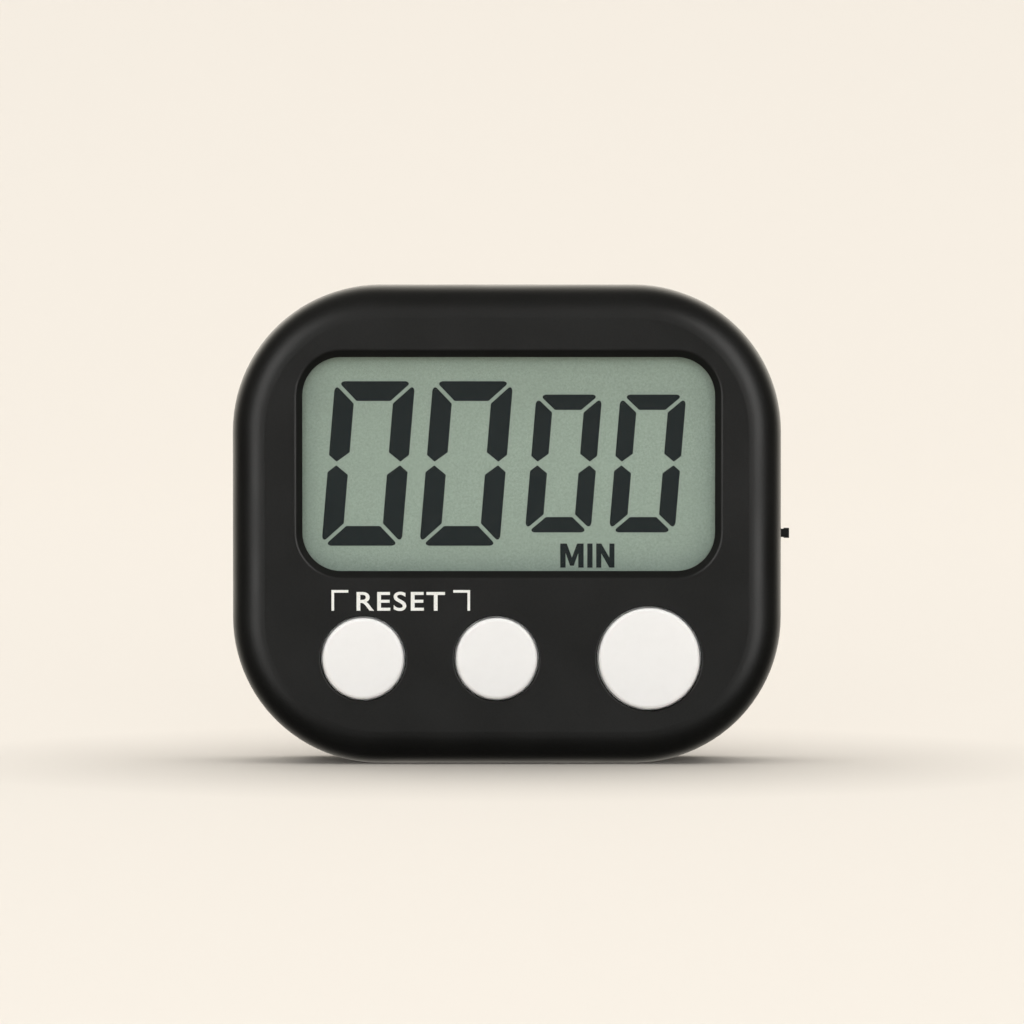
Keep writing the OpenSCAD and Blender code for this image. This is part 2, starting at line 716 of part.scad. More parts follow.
module keypad_mat() color("#d9d9d6") upright() union() {
    difference() {
        slab(board_top, board_top + mat_t) difference() {
            translate([-mat_w / 2, mat_low_y]) square([mat_w, mat_top_y - mat_low_y]);
            for (at = shell_screws) translate(at) circle(boss_r + 0.4);
        }
        for (b = buttons) rod([b[0], button_height], dome_r, board_top - 1, board_top + mat_t + 1);
    }
    for (b = buttons) dome([b[0], button_height]);
}

module chip_blob() color("#141414") upright()
    translate([chip_at[0], chip_at[1], board_low - blob_t])
        cylinder(r1 = blob_top_r, r2 = blob_r, h = blob_t);

module quartz_crystal() color("#c4c6c8") upright()
    translate([crystal_at[0], crystal_at[1], board_low - crystal_r]) rotate([0, 90, 0])
        cylinder(r = crystal_r, h = crystal_l);

// Small block soldered to the board
module chip(at, size)
    box([at[0] - size[0] / 2, at[1] - size[1] / 2, board_low - size[2]],
        [at[0] + size[0] / 2, at[1] + size[1] / 2, board_low]);

module chip_capacitors() color("#b08d62") upright() for (at = capacitors_at) chip(at, capacitor);

module chip_resistors() color("#1c1c1e") upright() for (at = resistors_at) chip(at, resistor);

module drive_transistor() color("#19191b") upright() chip(transistor_at, transistor);

// Drum core: two flanges and the winding between them
module boost_coil() color("#35302c") upright() {
    rod(coil_at, coil_r, board_low - coil_flange, board_low);
    rod(coil_at, winding_r, board_low - coil_h + coil_flange, board_low - coil_flange);
    rod(coil_at, coil_r, board_low - coil_h, board_low - coil_h + coil_flange);
}

module switch_housing() color("#b9bbbd") upright() difference() {
    box([switch_x - switch_w / 2, switch_height - switch_l / 2, seam],
        [switch_x + switch_w / 2, switch_height + switch_l / 2, board_low]);
    // Room for the lever's block, and the window it looks out of
    low = lever_z - lever_t / 2 - lever_gap;
    high = lever_z + lever_t / 2 + lever_gap;
    from = lever_rest_y - lever_h / 2 - lever_end_gap;
    to = lever_rest_y + switch_travel + lever_h / 2 + lever_end_gap;
    box([lever_root - block_l - 0.1, from - block_step, low],
        [switch_x + switch_w / 2 - switch_wall, to + block_step, high]);
    box([switch_x, from, low], [switch_x + switch_w, to, high]);
}

// Block inside the housing, neck through the body's side, and the tip that a finger moves
module switch_lever() color("#1d1d1d") upright() {
    half = lever_h / 2;
    box([lever_root - block_l, lever_rest_y - half - block_step, lever_z - lever_t / 2],
        [lever_root + block_nose, lever_rest_y + half + block_step, lever_z + lever_t / 2]);
    box([lever_root, lever_rest_y - half + neck_in, lever_z - lever_t / 2],
        [case_w / 2 + lever_proud, lever_rest_y + half - neck_in, lever_z + lever_t / 2]);
    box([case_w / 2 + neck_l, lever_rest_y - half, lever_z - lever_t / 2],
        [case_w / 2 + lever_proud, lever_rest_y + half, lever_z + lever_t / 2]);
}

// ---------------------------------------------------------------- fasteners

module board_screws() color("#9a9b9d") upright() for (at = board_screws_at) {
    difference() {
        rod(at, board_screw_head_r, board_low - board_screw_head_t, board_low);
        cross_recess(at, board_low - board_screw_head_t);
    }
    rod(at, screw_r, board_low - eps, board_low + board_screw_l);
}

module cross_recess(at, level) for (turn = [0, 90])
    translate([at[0], at[1], level]) rotate(turn) cube([2.2, 0.45, 1.2], center = true);

module case_screws() color("#8f9092") upright() for (at = shell_screws) {
    seat = back + screw_sink;
    difference() {
        rod(at, screw_head_r, seat - screw_head_t, seat);
        cross_recess(at, seat - screw_head_t);
    }
    rod(at, screw_r, seat - eps, seat + screw_l);
}

// ---------------------------------------------------------------- sound and power

module buzzer_disc() color("#c9a347") upright()
    rod([0, sound_y], buzzer_r, ring_top, ring_top + buzzer_t);

module buzzer_ceramic() color("#e4e2da") upright()
    rod([0, sound_y], ceramic_r, ring_top + buzzer_t, ring_top + buzzer_t + ceramic_t);

module red_buzzer_lead() color("#b3242a") upright() tube(red_buzzer_route, lead_r, 8);

module black_buzzer_lead() color("#1b1b1b") upright() tube(black_buzzer_route, lead_r, 8);

module battery_cell() color("#3c5b52") upright() {
    translate([cell_left, cell_height, cell_z]) rotate([0, 90, 0]) {
        cylinder(r = cell_r, h = cell_l - nub_l);
        cylinder(r = nub_r, h = cell_l);
    }
}

module contact_plate(x, tab_from, tab_to) {
    box([x, cell_height - plate_w / 2, cell_z - plate_w / 2],
        [x + plate_t, cell_height + plate_w / 2, cell_z + plate_w / 2]);
    box([tab_from, cell_height - tab_w / 2, tab_z - plate_t / 2],
        [tab_to, cell_height + tab_w / 2, tab_z + plate_t / 2]);
}

module positive_contact() color("#c9cbcd") upright() {
    x = bay_right - glue_gap - plate_t;
    contact_plate(x, x, x + tab_l);
    translate([x - dimple_l, cell_height, cell_z]) rotate([0, 90, 0])
        cylinder(r1 = 1, r2 = 1.6, h = dimple_l + eps);
}

module negative_contact() color("#c9cbcd") upright() {
    x = bay_left + glue_gap;
    contact_plate(x, x + plate_t - tab_l, x + plate_t);
}

module battery_spring() color("#c2c4c6") upright() tube(spring_points, spring_wire_r, 8);

module red_battery_lead() color("#b3242a") upright() tube(red_battery_route, lead_r, 8);

module black_battery_lead() color("#1b1b1b") upright() tube(black_battery_route, lead_r, 8);

module magnet(side) color("#aeb0b2") upright()
    rod([side * magnet_x, magnet_y], magnet_d / 2, back - magnet_proud, magnet_top);

module left_magnet() magnet(-1);

module right_magnet() magnet(1);

// ---------------------------------------------------------------- moving parts

module button(x, d) color("#eeece8") upright() {
    translate([x, button_height, 0]) rotate_extrude()
        edge_profile(d / 2, flange_low, front + button_proud, 0, button_edge);
    rod([x, button_height], d / 2 + button_gap + flange_rim, flange_low, flange_top);
    rod([x, button_height], stem_r, stem_low, flange_low);
}

module pill(x) color("#202022") upright()
    rod([x, button_height], pill_r, pill_top - pill_t, pill_top);

module minute_button() button(minute_x, small_button_d);

module second_button() button(second_x, small_button_d);

module start_button() button(start_x, large_button_d);

module minute_pill() pill(minute_x);

module second_pill() pill(second_x);

module start_pill() pill(start_x);

module stand() color("#2b2a28") upright() {
    low = back + stand_sink;
    bar_mid = pivot_height + stand_l - stand_bar / 2;
    difference() {
        slab(low, low + stand_t) difference() {
            translate([-stand_w / 2, pivot_height]) square([stand_w, stand_l]);
            translate([-stand_w / 2 + stand_leg, pivot_height - 1])
                square([stand_w - 2 * stand_leg, stand_l - stand_bar + 1]);
        }
        // Three grip grooves along the bar
        for (k = [-1 : 1])
            translate([-stand_groove_half, bar_mid + (2 * k - 0.5) * stand_groove_w, low - 1])
                cube([2 * stand_groove_half, stand_groove_w, 1 + ridge_deep]);
    }
    for (side = [-1, 1]) {
        translate([side * (stand_w - stand_leg) / 2, pivot_height, pivot_z]) rotate([0, 90, 0])
            cylinder(r = stand_t / 2, h = stand_leg, center = true);
        translate([side * (stand_w / 2 + pivot_l / 2), pivot_height, pivot_z]) rotate([0, 90, 0])
            cylinder(r = pivot_d / 2, h = pivot_l + 2 * eps, center = true);
    }
}

module battery_door() color("#292826") upright() difference() {
    intersection() {
        union() {
            box([door_left, cell_height - door_half, back - 1], [case_w, cell_height + door_half, door_in]);
            box([door_left, cell_height - door_half - door_rail, door_in - door_rail_t + door_gap],
                [case_w / 2 - back_round, cell_height + door_half + door_rail, door_in]);
        }
        body_outer(back, 0, back_round, 0);
    }
    // Ridged patch for a thumb
    for (k = [0 : RIDGES - 1])
        translate([grip_x + 2 * ridge_w * k, cell_height - grip_half, back - 1])
            cube([ridge_w, 2 * grip_half, 1 + ridge_deep]);
}

front_case();
rear_case();
window_tape();
display_window();
front_polarizer();
lcd_front_glass();
lcd_segments();
lcd_rear_glass();
rear_reflector();
zebra_strip();
foam_pad();
circuit_board();
keypad_mat();
chip_blob();
quartz_crystal();
chip_capacitors();
chip_resistors();
drive_transistor();
boost_coil();
switch_housing();
board_screws();
case_screws();
buzzer_disc();
buzzer_ceramic();
red_buzzer_lead();
black_buzzer_lead();
battery_cell();
positive_contact();
negative_contact();
battery_spring();
red_battery_lead();
black_battery_lead();
left_magnet();
right_magnet();
minute_button();
minute_pill();
second_button();
second_pill();
start_button();
start_pill();
switch_lever();
stand();
battery_door();
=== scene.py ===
# %% [markdown]
# # A digital kitchen timer
#
# The timer is a black moulded body the size of a bar of soap, with a liquid crystal display, three
# white push buttons and a slide switch on its side. Its working parts come from a CAD model that
# already fits together and moves. This file gives every part the finish of the real one, and
# builds the pieces that a CAD model is too plain for.
#
# The frame is loaded first. Nothing built here may grow the timer.

# %% Load the working model
import math

import bmesh
import bpy
from mathutils import Matrix, Vector


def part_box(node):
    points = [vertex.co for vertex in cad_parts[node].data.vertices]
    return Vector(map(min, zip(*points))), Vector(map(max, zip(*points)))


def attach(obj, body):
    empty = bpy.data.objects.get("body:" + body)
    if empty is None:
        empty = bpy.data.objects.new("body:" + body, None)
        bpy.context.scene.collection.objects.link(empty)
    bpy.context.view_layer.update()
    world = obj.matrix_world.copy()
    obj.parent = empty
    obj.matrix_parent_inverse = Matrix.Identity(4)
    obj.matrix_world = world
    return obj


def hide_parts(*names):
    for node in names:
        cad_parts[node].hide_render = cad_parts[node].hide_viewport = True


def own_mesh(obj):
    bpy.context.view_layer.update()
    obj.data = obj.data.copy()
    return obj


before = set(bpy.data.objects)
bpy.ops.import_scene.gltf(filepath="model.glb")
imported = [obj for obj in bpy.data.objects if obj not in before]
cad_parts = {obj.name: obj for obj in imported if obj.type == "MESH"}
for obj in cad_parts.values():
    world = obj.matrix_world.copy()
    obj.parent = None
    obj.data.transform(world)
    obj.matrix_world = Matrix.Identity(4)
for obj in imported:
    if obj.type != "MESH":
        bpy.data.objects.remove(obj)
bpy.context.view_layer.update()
MM = 0.001

# %% [markdown]
# ## Where the parts are
#
# Two measures of the frame are enough to start with: the face that the buttons come out of, and
# the size of the body. The rest is read where it is needed, from the box of a part or its middle.

# %% Read the main sizes from the frame
def centre(node):
    """The middle of a part's box."""
    low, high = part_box(node)
    return (low + high) / 2


case_low, case_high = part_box("front_case")
face_y = case_low.y
case_width = case_high.x - case_low.x
case_height = case_high.z - case_low.z
print("body", round(case_width / MM, 1), "by", round(case_height / MM, 1), "mm")

# %% [markdown]
# ## Camera
#
# A long lens far away keeps the sides of the body parallel, as a catalogue picture does. The view
# is a hair above level, so that the table shows in front of the base. The lens is worked out from
# the share of the picture that the body takes up.

# %% Set up the camera
BODY_SHARE = 0.5352  # of the picture's width
WIDEST_DEPTH = 4.5 * MM  # how far behind the face the body is widest
CAMERA_DISTANCE = 1.1
CAMERA_TILT = math.radians(2.0)
AIM = Vector((0.7 * MM, 0, case_height / 2 + 1.45 * MM))

camera_data = bpy.data.cameras.new("camera")
camera_data.sensor_width = 36
rim_distance = CAMERA_DISTANCE + face_y + WIDEST_DEPTH
camera_data.lens = camera_data.sensor_width * rim_distance * BODY_SHARE / case_width
camera = bpy.data.objects.new("camera", camera_data)
bpy.context.scene.collection.objects.link(camera)
camera.location = AIM + CAMERA_DISTANCE * Vector((0, -math.cos(CAMERA_TILT), math.sin(CAMERA_TILT)))
camera.rotation_euler = (math.pi / 2 - CAMERA_TILT, 0, 0)
bpy.context.scene.camera = camera
print("lens", round(camera_data.lens), "mm")

# %% [markdown]
# ## A way to write materials
#
# A Blender material is a net of nodes. Wiring it by hand is slow to read, so one small class wraps
# a socket: sums on it add the Math nodes. A second class holds the net, and its `node` method adds
# any other node: settings first, then the values or links of its sockets. Colours are given as
# they look on a screen, and turned into the linear ones that shaders use.

# %% Screen colours
def linear(red, green, blue):
    """A screen colour, 0 to 255, as the linear colour that shaders use."""
    def one(c):
        c = c / 255
        return c / 12.92 if c <= 0.04045 else ((c + 0.055) / 1.055) ** 2.4
    return (one(red), one(green), one(blue), 1.0)


# %% A socket that can be used in sums
class Wire:
    """A socket of a net, used in sums as if it were a number."""

    def __init__(self, net, socket):
        self.net, self.socket = net, socket

    def maths(self, operation, *terms):
        return self.net.node("ShaderNodeMath", {"operation": operation}, dict(enumerate(terms)))

    def __add__(self, other):
        return self.maths("ADD", self, other)

    def __sub__(self, other):
        return self.maths("SUBTRACT", self, other)

    def __rsub__(self, other):
        return self.maths("SUBTRACT", other, self)

    def __mul__(self, other):
        return self.maths("MULTIPLY", self, other)

    def __abs__(self):
        return self.maths("ABSOLUTE", self)

    def wave(self, period):
        """A sine of this value, between 0 and 1."""
        return self.maths("SINE", self * (2 * math.pi / period)) * 0.5 + 0.5

    def hypot(self, other):
        return self.maths("SQRT", self * self + other * other)


# %% A net of nodes, and a finish made with one
class Net:
    """Adds nodes to a tree."""

    def __init__(self, tree):
        self.tree = tree

    def join(self, value, socket):
        if isinstance(value, Wire):
            self.tree.links.new(value.socket, socket)
        else:
            socket.default_value = value

    def node(self, kind, settings=None, inputs=None, output=0):
        made = self.tree.nodes.new(kind)
        for key, value in (settings or {}).items():
            setattr(made, key, value)
        for key, value in (inputs or {}).items():
            self.join(value, made.inputs[key])
        return Wire(self, made.outputs[output])

    def axes(self, vector):
        """The X, Y and Z of a vector, as three wires."""
        first = self.node("ShaderNodeSeparateXYZ", inputs={"Vector": vector})
        return [Wire(self, socket) for socket in first.socket.node.outputs]

    def band(self, value, low, high, to_low=0.0, to_high=1.0):
        """Moves a value from one range to another, and stops it at the ends."""
        return self.node("ShaderNodeMapRange", {"clamp": True},
                         {"Value": value, "From Min": low, "From Max": high,
                          "To Min": to_low, "To Max": to_high})

    def mix(self, share, first, second):
        """A colour part of the way from the first to the second."""
        return self.node("ShaderNodeMix", {"data_type": "RGBA"}, {0: share, 6: first, 7: second},
                         output=2)

    def scaled(self, colour, share):
        """A colour whose brightness is set by a wire."""
        return self.node("ShaderNodeVectorMath", {"operation": "SCALE"},
                         {0: colour[:3], "Scale": share})


SOCKETS = {"ior": "IOR", "specular": "Specular IOR Level"}


class Finish(Net):
    """A material under construction: a Principled shader and the nodes that feed it."""

    def __init__(self, name, **sockets):
        self.material = bpy.data.materials.new(name)
        self.material.use_nodes = True
        super().__init__(self.material.node_tree)
        self.shader = self.tree.nodes["Principled BSDF"]
        for key, value in sockets.items():
            self.feed(SOCKETS.get(key, key.replace("_", " ").title()), value)

    def feed(self, name, value):
        self.join(value, self.shader.inputs[name])

    def place(self):
        """Position on the part, in metres, in the timer's own frame."""
        return self.node("ShaderNodeTexCoord", output="Object")

    def speckle(self, size, detail=2.0, stretch=(1, 1, 1)):
        """Noise between 0 and 1 whose blobs are about size metres across, stretched along an axis."""
        vector = self.place()
        if stretch != (1, 1, 1):
            scale = tuple(1 / s for s in stretch)
            vector = self.node("ShaderNodeMapping", inputs={"Vector": vector, "Scale": scale})
        return self.node("ShaderNodeTexNoise", inputs={"Vector": vector, "Scale": 1 / size,
                                                       "Detail": detail})

    def cells(self, size):
        """Distance to the nearest of a scatter of points that are about size metres apart."""
        return self.node("ShaderNodeTexVoronoi", inputs={"Vector": self.place(), "Scale": 1 / size})

    def shades(self, pattern, dark, pale):
        """Colours the finish with a pattern of two screen colours."""
        self.feed("Base Color", self.mix(pattern, linear(*dark), linear(*pale)))

    def sheen(self, pattern, low, high):
        """Spreads the roughness over a range, by a noise that is mostly between 0.3 and 0.7."""
        self.feed("Roughness", self.band(pattern, 0.3, 0.7, low, high))

    def bump(self, height, depth, strength=1.0):
        """Feeds the shader's normal with a relief that is depth metres deep."""
        self.feed("Normal", self.node("ShaderNodeBump", inputs={"Height": height, "Distance": depth,
                                                                "Strength": strength}))


# %% Putting a finish on a CAD part
def scaled_by(tint, share):
    """A screen colour made darker or brighter, as a linear colour."""
    return tuple(c * share for c in linear(*tint)[:3]) + (1.0,)


dressed = set()


def dress(finish, *nodes):
    for name in nodes:
        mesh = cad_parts[name].data
        mesh.materials.clear()
        mesh.materials.append(finish.material)
        dressed.add(name)


# %% [markdown]
# ## Black ABS shell
#
# The shells are moulded in black ABS with a spark-eroded texture: a fine satin grain that breaks
# up reflections. It could be modelled, but the grain is about a fiftieth of a millimetre deep, so
# a bump does it. Handling polishes the plastic a little in broad patches, so the roughness drifts,
# and the colour of the grain varies by a shade between its tops and its pits.

# %% Make the shell's finish
def moulded_black(name, tint, roughness, grain_size=0.22 * MM):
    finish = Finish(name, ior=1.46)
    grain = finish.speckle(grain_size, detail=3)
    patches = finish.speckle(11 * MM, detail=2)
    finish.feed("Base Color", finish.mix(finish.band(grain, 0.3, 0.7), scaled_by(tint, 0.8),
                                         scaled_by(tint, 1.25)))
    finish.sheen(patches, roughness - 0.03, roughness + 0.04)
    finish.bump(grain, 0.02 * MM, 0.5)
    return finish


shell_black = moulded_black("shell_black", (18, 18, 17), 0.40)
dress(shell_black, "front_case", "rear_case")
print("black plastic:", sorted(dressed))

# %% [markdown]
# ## White button caps
#
# The caps are moulded in white ABS and have a finer, smoother skin than the body. Titanium white
# is nearly neutral, and a faint mottle in it stands for the flow of the plastic.

# %% Make the caps' finish
button_white = Finish("button_white", ior=1.48)
mottle = button_white.speckle(1.4 * MM, detail=3)
button_white.shades(button_white.band(mottle, 0.3, 0.7), (249, 248, 247), (251, 250, 249))
button_white.sheen(button_white.speckle(3 * MM), 0.36, 0.44)
button_white.bump(button_white.speckle(0.15 * MM), 0.005 * MM, 0.15)
dress(button_white, "minute_button", "second_button", "start_button")
print("white caps done")

# %% [markdown]
# ## Building pieces
#
# A few helpers turn mesh code into finished pieces. `make_piece` takes a bmesh, smooths it except
# at its creases, gives it a finish and says which body carries it. `turned` spins a profile, as on
# a lathe, and `swept` pulls a round section along a path, as a wire is drawn.

# %% Helpers for pieces
CREASE = math.radians(32)
REPLACED = {}  # the CAD parts that each piece stands for


def make_piece(name, bm, finish, body="case", replaces=()):
    bmesh.ops.recalc_face_normals(bm, faces=bm.faces)
    mesh = bpy.data.meshes.new(name)
    bm.to_mesh(mesh)
    bm.free()
    mesh.polygons.foreach_set("use_smooth", [True] * len(mesh.polygons))
    mesh.set_sharp_from_angle(angle=CREASE)
    mesh.materials.append(finish.material)
    piece = bpy.data.objects.new(name, mesh)
    bpy.context.scene.collection.objects.link(piece)
    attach(piece, body)
    if replaces:
        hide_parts(*replaces)
        REPLACED[name] = replaces
    return piece


def aim_z(axis):
    """The turn that takes +Z to an axis."""
    return Vector(axis).to_track_quat("Z", "Y").to_matrix().to_4x4()


def turned(bm, profile, origin, axis=(0, 0, 1), sides=48):
    """Spins a profile of (radius, height) points round an axis through origin."""
    place = Matrix.Translation(origin) @ aim_z(axis)
    rings = []
    for radius, height in profile:
        if radius < 1e-7:
            rings.append([bm.verts.new(place @ Vector((0, 0, height)))])
            continue
        turns = [2 * math.pi * k / sides for k in range(sides)]
        rings.append([bm.verts.new(place @ Vector((radius * math.cos(t), radius * math.sin(t), height)))
                      for t in turns])
    for low, high in zip(rings, rings[1:]):
        for k in range(sides):
            corners = [low[k % len(low)], low[(k + 1) % len(low)],
                       high[(k + 1) % len(high)], high[k % len(high)]]
            bm.faces.new(list(dict.fromkeys(corners)))
    return bm


def swept(bm, path, radius, sides=8):
    """Pulls a round section along a path, with a frame carried from point to point."""
    points = [Vector(p) for p in path]
    ends = zip([points[0]] + points[:-1], points[1:] + [points[-1]])
    tangents = [(b - a).normalized() for a, b in ends]
    side = tangents[0].orthogonal().normalized()
    rings = []
    for point, along in zip(points, tangents):
        side = (side - along * side.dot(along)).normalized()
        up = along.cross(side)
        rings.append([bm.verts.new(point + radius * (math.cos(t) * side + math.sin(t) * up))
                      for t in (2 * math.pi * k / sides for k in range(sides))])
    for low, high in zip(rings, rings[1:]):
        for k in range(sides):
            bm.faces.new([low[k], low[(k + 1) % sides], high[(k + 1) % sides], high[k]])
    bm.faces.new(rings[0])
    bm.faces.new(rings[-1])
    return bm


def copied(node):
    """The mesh of a CAD part, welded and with its flat faces in one piece, ready to be refined."""
    bm = bmesh.new()
    bm.from_mesh(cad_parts[node].data)
    bmesh.ops.remove_doubles(bm, verts=bm.verts, dist=0.002 * MM)
    bmesh.ops.dissolve_limit(bm, angle_limit=math.radians(0.5), verts=bm.verts, edges=bm.edges)
    return bm


# %% [markdown]
# ## Display
#
# A display of this kind is a sandwich: a clear acrylic lens, a polarizing film, two sheets of
# glass with the liquid crystal between them, and a grey-green reflector. A lit bar is a patch of
# crystal that blocks the light. The clear layers are sheets with a very low alpha that cast no
# shadow, so that light gets through all of them. The ground is the front of the rear glass, with a
# painted shade at its top in place of the shadow of the frame's upper edge.
#
# The bars fill the gap between the glasses in the CAD part, so their faces lie exactly on the
# glass. A copy of them, a little thinner, stands free of both. Etched bars have soft corners: a
# small round on each, and a large one on the long tips at the outside of a digit.

# %% Clear layers and the display's ground
def clear_sheet(name, tint, alpha, roughness):
    finish = Finish(name, base_color=linear(*tint), ior=1.45)
    haze = finish.speckle(6 * MM, detail=2)
    finish.sheen(haze, roughness, roughness * 1.6)
    finish.feed("Alpha", finish.band(haze, 0.2, 0.8, alpha * 0.8, alpha * 1.2))
    return finish


dress(clear_sheet("clear_acrylic", (215, 222, 214), 0.003, 0.06), "display_window")
dress(clear_sheet("clear_glass", (205, 215, 206), 0.002, 0.08), "lcd_front_glass")
dress(clear_sheet("polarizer", (180, 192, 178), 0.003, 0.25), "front_polarizer")
for name in ("display_window", "front_polarizer", "lcd_front_glass"):
    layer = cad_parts[name]
    layer.visible_shadow = layer.visible_diffuse = layer.visible_glossy = False

lcd_ground = Finish("lcd_ground")
fibre = lcd_ground.speckle(0.26 * MM, detail=3)
cloud = lcd_ground.speckle(14 * MM, detail=1)
ground = lcd_ground.mix(lcd_ground.band(fibre, 0.25, 0.75), linear(135, 153, 139),
                        linear(156, 174, 160))
ground = lcd_ground.mix(lcd_ground.band(cloud, 0.3, 0.7, 0.0, 0.35), ground, linear(141, 159, 144))
# Painted shade: the ground's colour darkens towards its top, in place of the shadow of the frame's upper
# edge
glass_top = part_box("lcd_rear_glass")[1].z
upward = lcd_ground.axes(lcd_ground.place())[2]
edge = lcd_ground.band(upward, glass_top - 4.2 * MM, glass_top - 1.2 * MM, 0.0, 0.45)
lcd_ground.feed("Base Color", lcd_ground.mix(edge, ground, linear(112, 128, 114)))
lcd_ground.feed("Roughness", lcd_ground.band(fibre, 0.25, 0.75, 0.5, 0.62))
dress(lcd_ground, "lcd_rear_glass")

reflector = Finish("reflector_film", metallic=0.5)
reflector.shades(reflector.speckle(0.2 * MM), (150, 156, 146), (176, 182, 170))
reflector.sheen(reflector.speckle(0.4 * MM), 0.35, 0.5)
dress(reflector, "rear_reflector")
print("display layers done")

# %% The lit bars
BAR_INSET = 0.01 * MM
BAR_CORNER = 0.07 * MM
BAR_TIP = 0.55 * MM
TIP_TURN = math.radians(100)  # a sharper turn than this is a tip
TIP_REACH = 1.3 * BAR_TIP

lcd_dark = Finish("lcd_dark", specular=0.15)
lcd_dark.shades(lcd_dark.speckle(2.5 * MM), (17, 25, 27), (22, 30, 32))
lcd_dark.sheen(lcd_dark.speckle(0.3 * MM), 0.45, 0.55)

bars_low, bars_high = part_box("lcd_segments")
bars = copied("lcd_segments")


def corners_between(bm, least, most):
    """The edges through a bar's thickness where its outline turns by an angle in a range."""
    return [edge for edge in bm.edges if least < edge.calc_face_angle(0) <= most
            and abs((edge.verts[0].co - edge.verts[1].co).normalized().y) > 0.99]


# The tips of the CAD bars are cut by small facets, which come off before the large round goes on
tips = corners_between(bars, TIP_TURN, math.pi)
places = [tip.verts[0].co.xz for tip in tips]
facets = [edge for edge in corners_between(bars, 0, TIP_TURN)
          if any((edge.verts[0].co.xz - place).length < TIP_REACH for place in places)]
bmesh.ops.dissolve_edges(bars, edges=facets, use_verts=True)
for least, most, radius in ((CREASE, TIP_TURN, BAR_CORNER), (TIP_TURN, math.pi, BAR_TIP)):
    bmesh.ops.bevel(bars, geom=corners_between(bars, least, most), offset=radius, segments=5,
                    profile=0.5, affect="EDGES", clamp_overlap=True)
print("tips rounded:", len(tips), "facets taken out:", len(facets))
for vert in bars.verts:
    vert.co.y += BAR_INSET if vert.co.y < (bars_low.y + bars_high.y) / 2 else -BAR_INSET
lit_bars = make_piece("lit_bars", bars, lcd_dark, replaces=["lcd_segments"])
print("lit bars:", len(lit_bars.data.polygons), "faces")

# %% [markdown]
# ## Lettering
#
# The body has one printed word between two corner brackets, over the two small buttons that do it
# when they are pressed together, and the display has the unit of its digits. Both are plain words
# here. Ink is a layer of a few hundredths of a millimetre, so each is a flat outline with that
# thickness. The printed word is Blender's own font, turned into a mesh and stretched to its place.
# The unit is etched like the bars, with straight strokes, so its letters are outlines of a few
# points.

# %% Helpers for ink
INK = 0.02 * MM


def word(text, width, height, middle_x, base_z, y, weight=0.0, spacing=1.0):
    """A bmesh of a word that faces the viewer, as wide and as tall as asked."""
    curve = bpy.data.curves.new("word", "FONT")
    curve.body = text
    curve.offset = weight
    curve.space_character = spacing
    curve.resolution_u = 6
    holder = bpy.data.objects.new("word", curve)
    bpy.context.scene.collection.objects.link(holder)
    bpy.context.view_layer.update()
    mesh = bpy.data.meshes.new_from_object(holder.evaluated_get(bpy.context.evaluated_depsgraph_get()))
    bpy.data.objects.remove(holder)
    bm = bmesh.new()
    bm.from_mesh(mesh)
    bpy.data.meshes.remove(mesh)
    low = Vector(min(v.co[k] for v in bm.verts) for k in range(3))
    high = Vector(max(v.co[k] for v in bm.verts) for k in range(3))
    across, upward = width / (high.x - low.x), height / (high.y - low.y)
    for vert in bm.verts:
        x = (vert.co.x - (low.x + high.x) / 2) * across + middle_x
        vert.co = Vector((x, y, (vert.co.y - low.y) * upward + base_z))
    thicken(bm, INK)
    return bm


def thicken(bm, depth):
    """Gives a flat outline a thickness, from where it is towards the viewer."""
    bmesh.ops.remove_doubles(bm, verts=bm.verts, dist=0.001 * MM)
    made = bmesh.ops.extrude_face_region(bm, geom=list(bm.faces))
    for part in made["geom"]:
        if isinstance(part, bmesh.types.BMVert):
            part.co.y -= depth


def strip(bm, x_low, x_high, z_low, z_high, y):
    """A flat upright rectangle with some thickness."""
    corners = [(x_low, y, z_low), (x_high, y, z_low), (x_high, y, z_high), (x_low, y, z_high)]
    front = [bm.verts.new(Vector(c) - Vector((0, INK, 0))) for c in corners]
    rear = [bm.verts.new(c) for c in corners]
    bm.faces.new(front)
    bm.faces.new(rear)
    for k in range(4):
        bm.faces.new([front[k], front[(k + 1) % 4], rear[(k + 1) % 4], rear[k]])


# %% Printed label
print_white = Finish("print_white", roughness=0.55)
wear = print_white.speckle(0.25 * MM, detail=3)
print_white.shades(print_white.band(wear, 0.25, 0.5), (226, 226, 221), (246, 246, 241))

minute = centre("minute_button")
LABEL_MIDDLE = minute.x + 5.13 * MM
LABEL_BASE = minute.z + 6.5 * MM
LABEL_WIDTH = 12.06 * MM
CAPITALS = 2.62 * MM
BRACKET_HALF = 9.45 * MM
BRACKET_RISE = 2.85 * MM
BRACKET_ARM = 2.3 * MM
BRACKET_DROP = 2.82 * MM
BRACKET_LINE = 0.36 * MM

label = word("RESET", LABEL_WIDTH, CAPITALS, LABEL_MIDDLE, LABEL_BASE, face_y,
             weight=0.012, spacing=1.12)
make_piece("printed_word", label, print_white)
brackets = bmesh.new()
bracket_top = LABEL_BASE + BRACKET_RISE
for side in (-1, 1):
    outer = LABEL_MIDDLE + side * BRACKET_HALF
    inner = outer - side * BRACKET_LINE
    tip = outer - side * BRACKET_ARM
    strip(brackets, min(outer, inner), max(outer, inner), bracket_top - BRACKET_DROP,
          bracket_top - BRACKET_LINE, face_y)
    strip(brackets, min(outer, tip), max(outer, tip), bracket_top - BRACKET_LINE, bracket_top, face_y)
make_piece("printed_brackets", brackets, print_white)

